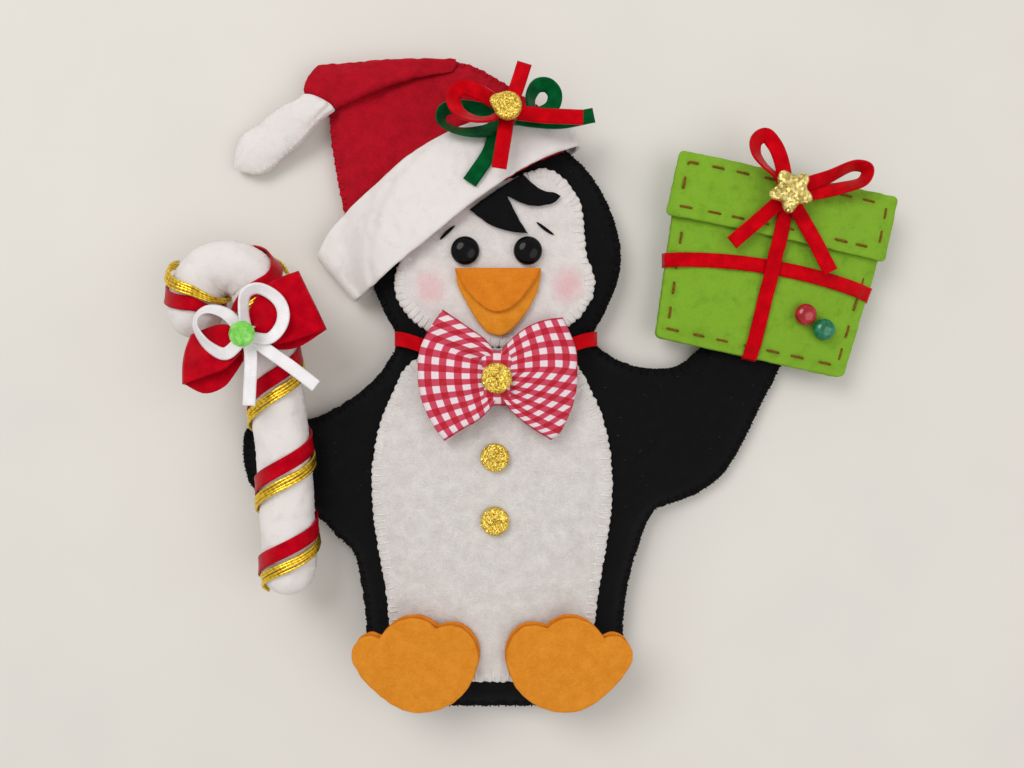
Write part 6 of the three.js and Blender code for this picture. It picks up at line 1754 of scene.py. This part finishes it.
caneLine = smoothLine(np.vstack([
    place(caneStemShares, cane["x"], cane["y"], cane["lean"], cane["rise"]),
    np.column_stack([hookX + cane["hookRadius"] * np.cos(hookTurns),
                     hookY + cane["hookRadius"] * np.sin(hookTurns)]),
    place(caneEndShares, hookX - cane["hookRadius"], hookY, cane["hookRadius"], cane["hookDrop"]),
]), 0.2)
caneWay = unit(np.gradient(caneLine, axis=0))
caneLength = float(np.linalg.norm(np.diff(caneLine, axis=0), axis=1).sum())
windAllowance = cane["windGap"] + cane["cord"] + cane["wrapGap"]


def canePlan(distance):
    share = np.clip(np.asarray(distance, float) / caneLength, 0, 1)
    return pointAt(caneLine, share), unit(pointAt(caneWay, share))


def caneHeight():
    distance = np.arange(0, caneLength, 2.0)
    point, way = canePlan(distance)
    across = np.column_stack([-way[:, 1], way[:, 0]])
    most = 0
    for share in (-0.9, -0.6, -0.3, 0, 0.3, 0.6, 0.9):
        x, y = (point + across * share * cane["halfWidth"]).T
        wing = np.where(bodyDistance(x, y) > 0, frontTop(x, y), 0)
        below = cane["halfHeight"] * math.sqrt(1 - share * share)
        most = max(most, float(wing.max()) + windAllowance + below)
    return most


caneMiddle = caneHeight()


def canePoint(distance, angle, offset, least=cane["leastRound"], lift=0.0):
    point, way = canePlan(distance)
    toEnd = np.minimum(distance, caneLength - distance)
    outer = np.sqrt(np.maximum(least, 1 - (1 - np.clip(toEnd / cane["tip"], 0, 1)) ** 2))
    side = np.maximum(cane["halfWidth"] * outer + offset, 0.03) * np.cos(angle * degree)
    rise = np.maximum(cane["halfHeight"] * outer + offset, 0.03) * np.sin(angle * degree)
    return np.stack([point[..., 0] - way[..., 1] * side, point[..., 1] + way[..., 0] * side,
                     caneMiddle + rise + lift], axis=-1)


def addCane():
    near = np.array([0.02, 0.12, 0.35, 0.7, 1.2, 1.9, 2.8, 3.9, 5.1, 6.4])
    stations = np.r_[near, np.arange(7.6, caneLength - 7, 1.2), caneLength - near[::-1]]
    for name, start, nodes in (("caneFront", 0, ("cane_front_panel", "cane_stuffing")),
                               ("caneBack", 180, ("cane_back_panel",))):
        angles = start + np.r_[0, 3, np.arange(8, 173, 6.56), 177, 180]
        run, turn = np.meshgrid(stations, angles, indexing="ij")
        soft = 0.22 * ripples(run, turn / 12, 11, 131) + 0.1 * ripples(run, turn / 12, 3.5, 132)
        seam = np.minimum(turn - start, start + 180 - turn)
        stitchPull = 0.25 * np.exp(-((run % cane["pitch"] - 1.3) / 0.5) ** 2) * np.exp(-(seam / 14) ** 2)
        lift = goods["seamGap"] / 2 * (1 if start == 0 else -1)
        offset = -felt / 2 + soft * ease(0, 30, seam) - stitchPull
        ends = 1 - 0.85 * np.exp(-np.minimum(run, caneLength - run) / 1.0)
        parts = clothParts(canePoint(run, turn, offset, cane["seamRound"], lift), felt * ends)
        makeMesh(name, parts, "fleece", "white_felt", *nodes)
    paths = []
    for side in (0, 180):
        for distance in np.arange(2.2, caneLength - 1.5, cane["pitch"]):
            angles = side + np.array([-24, -14, -5, 5, 14, 24])
            offset = np.array([-0.35, -0.06, 0.0, 0.0, -0.06, -0.35])
            paths.append(canePoint(np.full(6, distance), angles, offset, cane["seamRound"]))
    addTubes("caneStitches", paths, cane["stitch"], "whiteThread", "white_thread")


# A smooth reading between the rows of a table
def readAt(table, value):
    row = int(np.clip(np.searchsorted(table[1:-1, 0], value), 0, len(table) - 2))

    def slope(index):
        before, after = table[max(0, index - 1)], table[min(len(table) - 1, index + 1)]
        return (after[1] - before[1]) / (after[0] - before[0])
    span = table[row + 1][0] - table[row][0]
    t = (value - table[row][0]) / span
    low = table[row][1] + slope(row) * span * t
    high = table[row + 1][1] - slope(row + 1) * span * (1 - t)
    return mix(low, high, ease(0, 1, t))


# The route of a band wound round the cane: its middle, the way across it, outwards, and its breadth
def windRoute(width, thickness, setBack, hookSetBack, overHook):
    first, last = windTurnShares[0][0], windTurnShares[-1][0]
    turns = np.linspace(first, last, round((last - first) * 60) + 1)

    def onHook(distance):
        return ease(cane["hookStart"], cane["hookEnd"], distance)

    def distanceAt(turn):
        distance = caneLength * np.array([readAt(windTurnShares, t) for t in turn])
        return distance - mix(setBack, hookSetBack, onHook(distance))

    def at(turn, offset):
        return canePoint(distanceAt(turn), 90 + 360 * turn, offset)
    hooked = onHook(distanceAt(turns))
    inside = np.maximum(0, np.cos((90 + 360 * turns) * degree))
    breadth = width * (1 - cane["hookPinch"] * inside * hooked)
    foot = cane["windGap"] + overHook * hooked
    point = at(turns, foot)
    outward = unit(at(turns, foot + thickness) - point)
    along = unit(at(turns + 0.01, foot) - at(turns - 0.01, foot))
    return point, unit(np.cross(outward, along)), outward, breadth


def addWinding():
    width, thickness = goods["satinWidth"], goods["satin"]
    point, across, outward, breadth = windRoute(width, thickness, 0, 0, 0)
    parts = ribbonParts(point + outward * thickness / 2, across, breadth)
    makeMesh("caneWrap", parts, "bowSatin", "red_satin", "cane_ribbon_wrap")
    point, across, outward, breadth = windRoute(cane["cordWidth"], cane["cord"], cane["cordOffset"],
                                                cane["cordHookOffset"], thickness + cane["wrapGap"])
    run = runOf(point)
    size = cane["strand"] * np.ones(len(run)) * (breadth / cane["cordWidth"]) ** 0.5
    parts = []
    for number, share in enumerate((-0.37, -0.12, 0.13, 0.37)):
        drift = 0.03 * np.sin(run / 3.1 + number * 2)
        strand = point + across * ((share + drift) * breadth)[:, None]
        raised = cane["cord"] * (0.42 + 0.1 * np.sin(run / 2.3 + number * 1.7))
        points, faces = tubeParts([strand + outward * raised[:, None]], [size], 8)
        cloth = np.zeros((len(points), 3))
        cloth[:len(run) * 8, 0] = np.repeat(run, 8)
        cloth[:len(run) * 8, 1] = np.tile(np.arange(8) * math.pi / 4, len(run)) + number
        parts.append((points, faces, cloth))
    makeMesh("caneCord", joinParts(parts), "goldCord", "gold_thread", "cane_gold_cord")


caneBow = {
    "x": -67.3, "y": 53.4, "rise": 2.2, "span": 20, "width": 18, "whiteSpan": 13.4, "whiteTail": 20,
    "whiteShift": 1.2, "narrow": 3.4, "gem": 3.5, "gemHeight": 1.8, "knot": 2.0,
    "droop": 0.07, "lift": 0.9, "pleat": 0.55, "folds": 6.5, "bandHalfX": 3.0, "bandHalfY": 4.6, "turn": 30,
}
caneRightLoop = {
    "high": [(0.02, 0.12), (0.12, 0.42), (0.33, 0.7), (0.71, 0.87)],
    "low": [(0.06, -0.13), (0.25, -0.15), (0.58, -0.1), (1.09, 0.08)],
    "far": [(1.09, 0.08), (0.97, 0.34), (0.84, 0.6), (0.71, 0.87)],
    "under": [(0.06, -0.16), (0.3, -0.19), (0.68, -0.17), (1.09, 0.08)],
}
caneLeftLoop = {
    "high": [(-0.04, 0.1), (-0.3, 0.14), (-0.72, 0.0)],
    "low": [(-0.03, -0.24), (-0.23, -0.45), (-0.48, -0.545), (-0.845, -0.665)],
    "far": [(-0.845, -0.665), (-0.84, -0.42), (-0.8, -0.2), (-0.72, 0.0)],
    "under": [(0.0, -0.3), (-0.165, -0.545), (-0.3, -0.7), (-0.56, -0.79), (-0.845, -0.665)],
}
whiteLoopShares = [
    [(0.03, 0.06), (-0.03, 0.5), (0.02, 0.82), (0.22, 0.92), (0.48, 0.83), (0.68, 0.63), (0.74, 0.38),
     (0.66, 0.12), (0.45, -0.08), (0.06, -0.03)],
    [(-0.05, 0.04), (-0.4, 0.42), (-0.75, 0.5), (-0.95, 0.38), (-1, 0.2), (-0.9, -0.04), (-0.7, -0.26),
     (-0.42, -0.38), (-0.05, -0.05)],
]
whiteTailShares = [[(0.06, -0.22), (0.04, -0.95)], [(0.26, -0.19), (0.63, -0.45), (0.94, -0.69)]]


def addCaneBows():
    x, y = caneBow["x"], caneBow["y"]
    level = caneMiddle + cane["halfHeight"] + windAllowance + goods["satin"] + cane["wrapGap"]
    spans = (caneBow["span"], caneBow["span"])

    def base(px, py):
        return level - caneBow["droop"] * np.hypot(px - x, py - y)
    parts = []
    for loop, fold in ((caneRightLoop, 0.8), (caneLeftLoop, 1.1)):
        parts.append(foldedLoop(x, y, spans, loop, base, caneBow["lift"], fold, caneBow["width"],
                                goods["satin"], caneBow["pleat"], caneBow["folds"]))
    parts.append(knotBand(x, y, caneBow["bandHalfX"], caneBow["bandHalfY"], level, caneBow["rise"] + 0.6,
                          goods["satin"], 0.12, caneBow["turn"]))
    bow = makeMesh("caneBowRed", joinParts(parts), "bowSatin", "red_satin", "cane_bow_red")
    whiteSeat = level + caneBow["rise"] + goods["satin"] + goods["trimGap"]
    height = loopHeight(caneBow["narrow"])
    whiteX = x + caneBow["whiteShift"]
    satinBow("caneBowWhite", "cane_bow_white", "whiteSatin", "white_satin", whiteX, y, caneBow["whiteSpan"],
             caneBow["narrow"], lambda px, py: whiteSeat + 0 * px, whiteSeat, 0, whiteLoopShares,
             whiteTailShares, height, caneBow["whiteTail"], knot=caneBow["knot"])
    facets = [(0, 0), (0.92, 0), (1, 0.3), (0.8, 0.68), (0.5, 0.95), (0, 1.0)]
    gemFoot = whiteSeat + height + goods["satin"] + goods["trimGap"]
    parts = turnedParts(facets, (caneBow["gem"], caneBow["gemHeight"]), whiteX, y, gemFoot, 14)
    makeMesh("caneGem", parts, "greenGem", "green_gem", "cane_gem", smooth=False)


addCane()
addWinding()
addCaneBows()
print("cane is wound")


print("all pieces are in place")
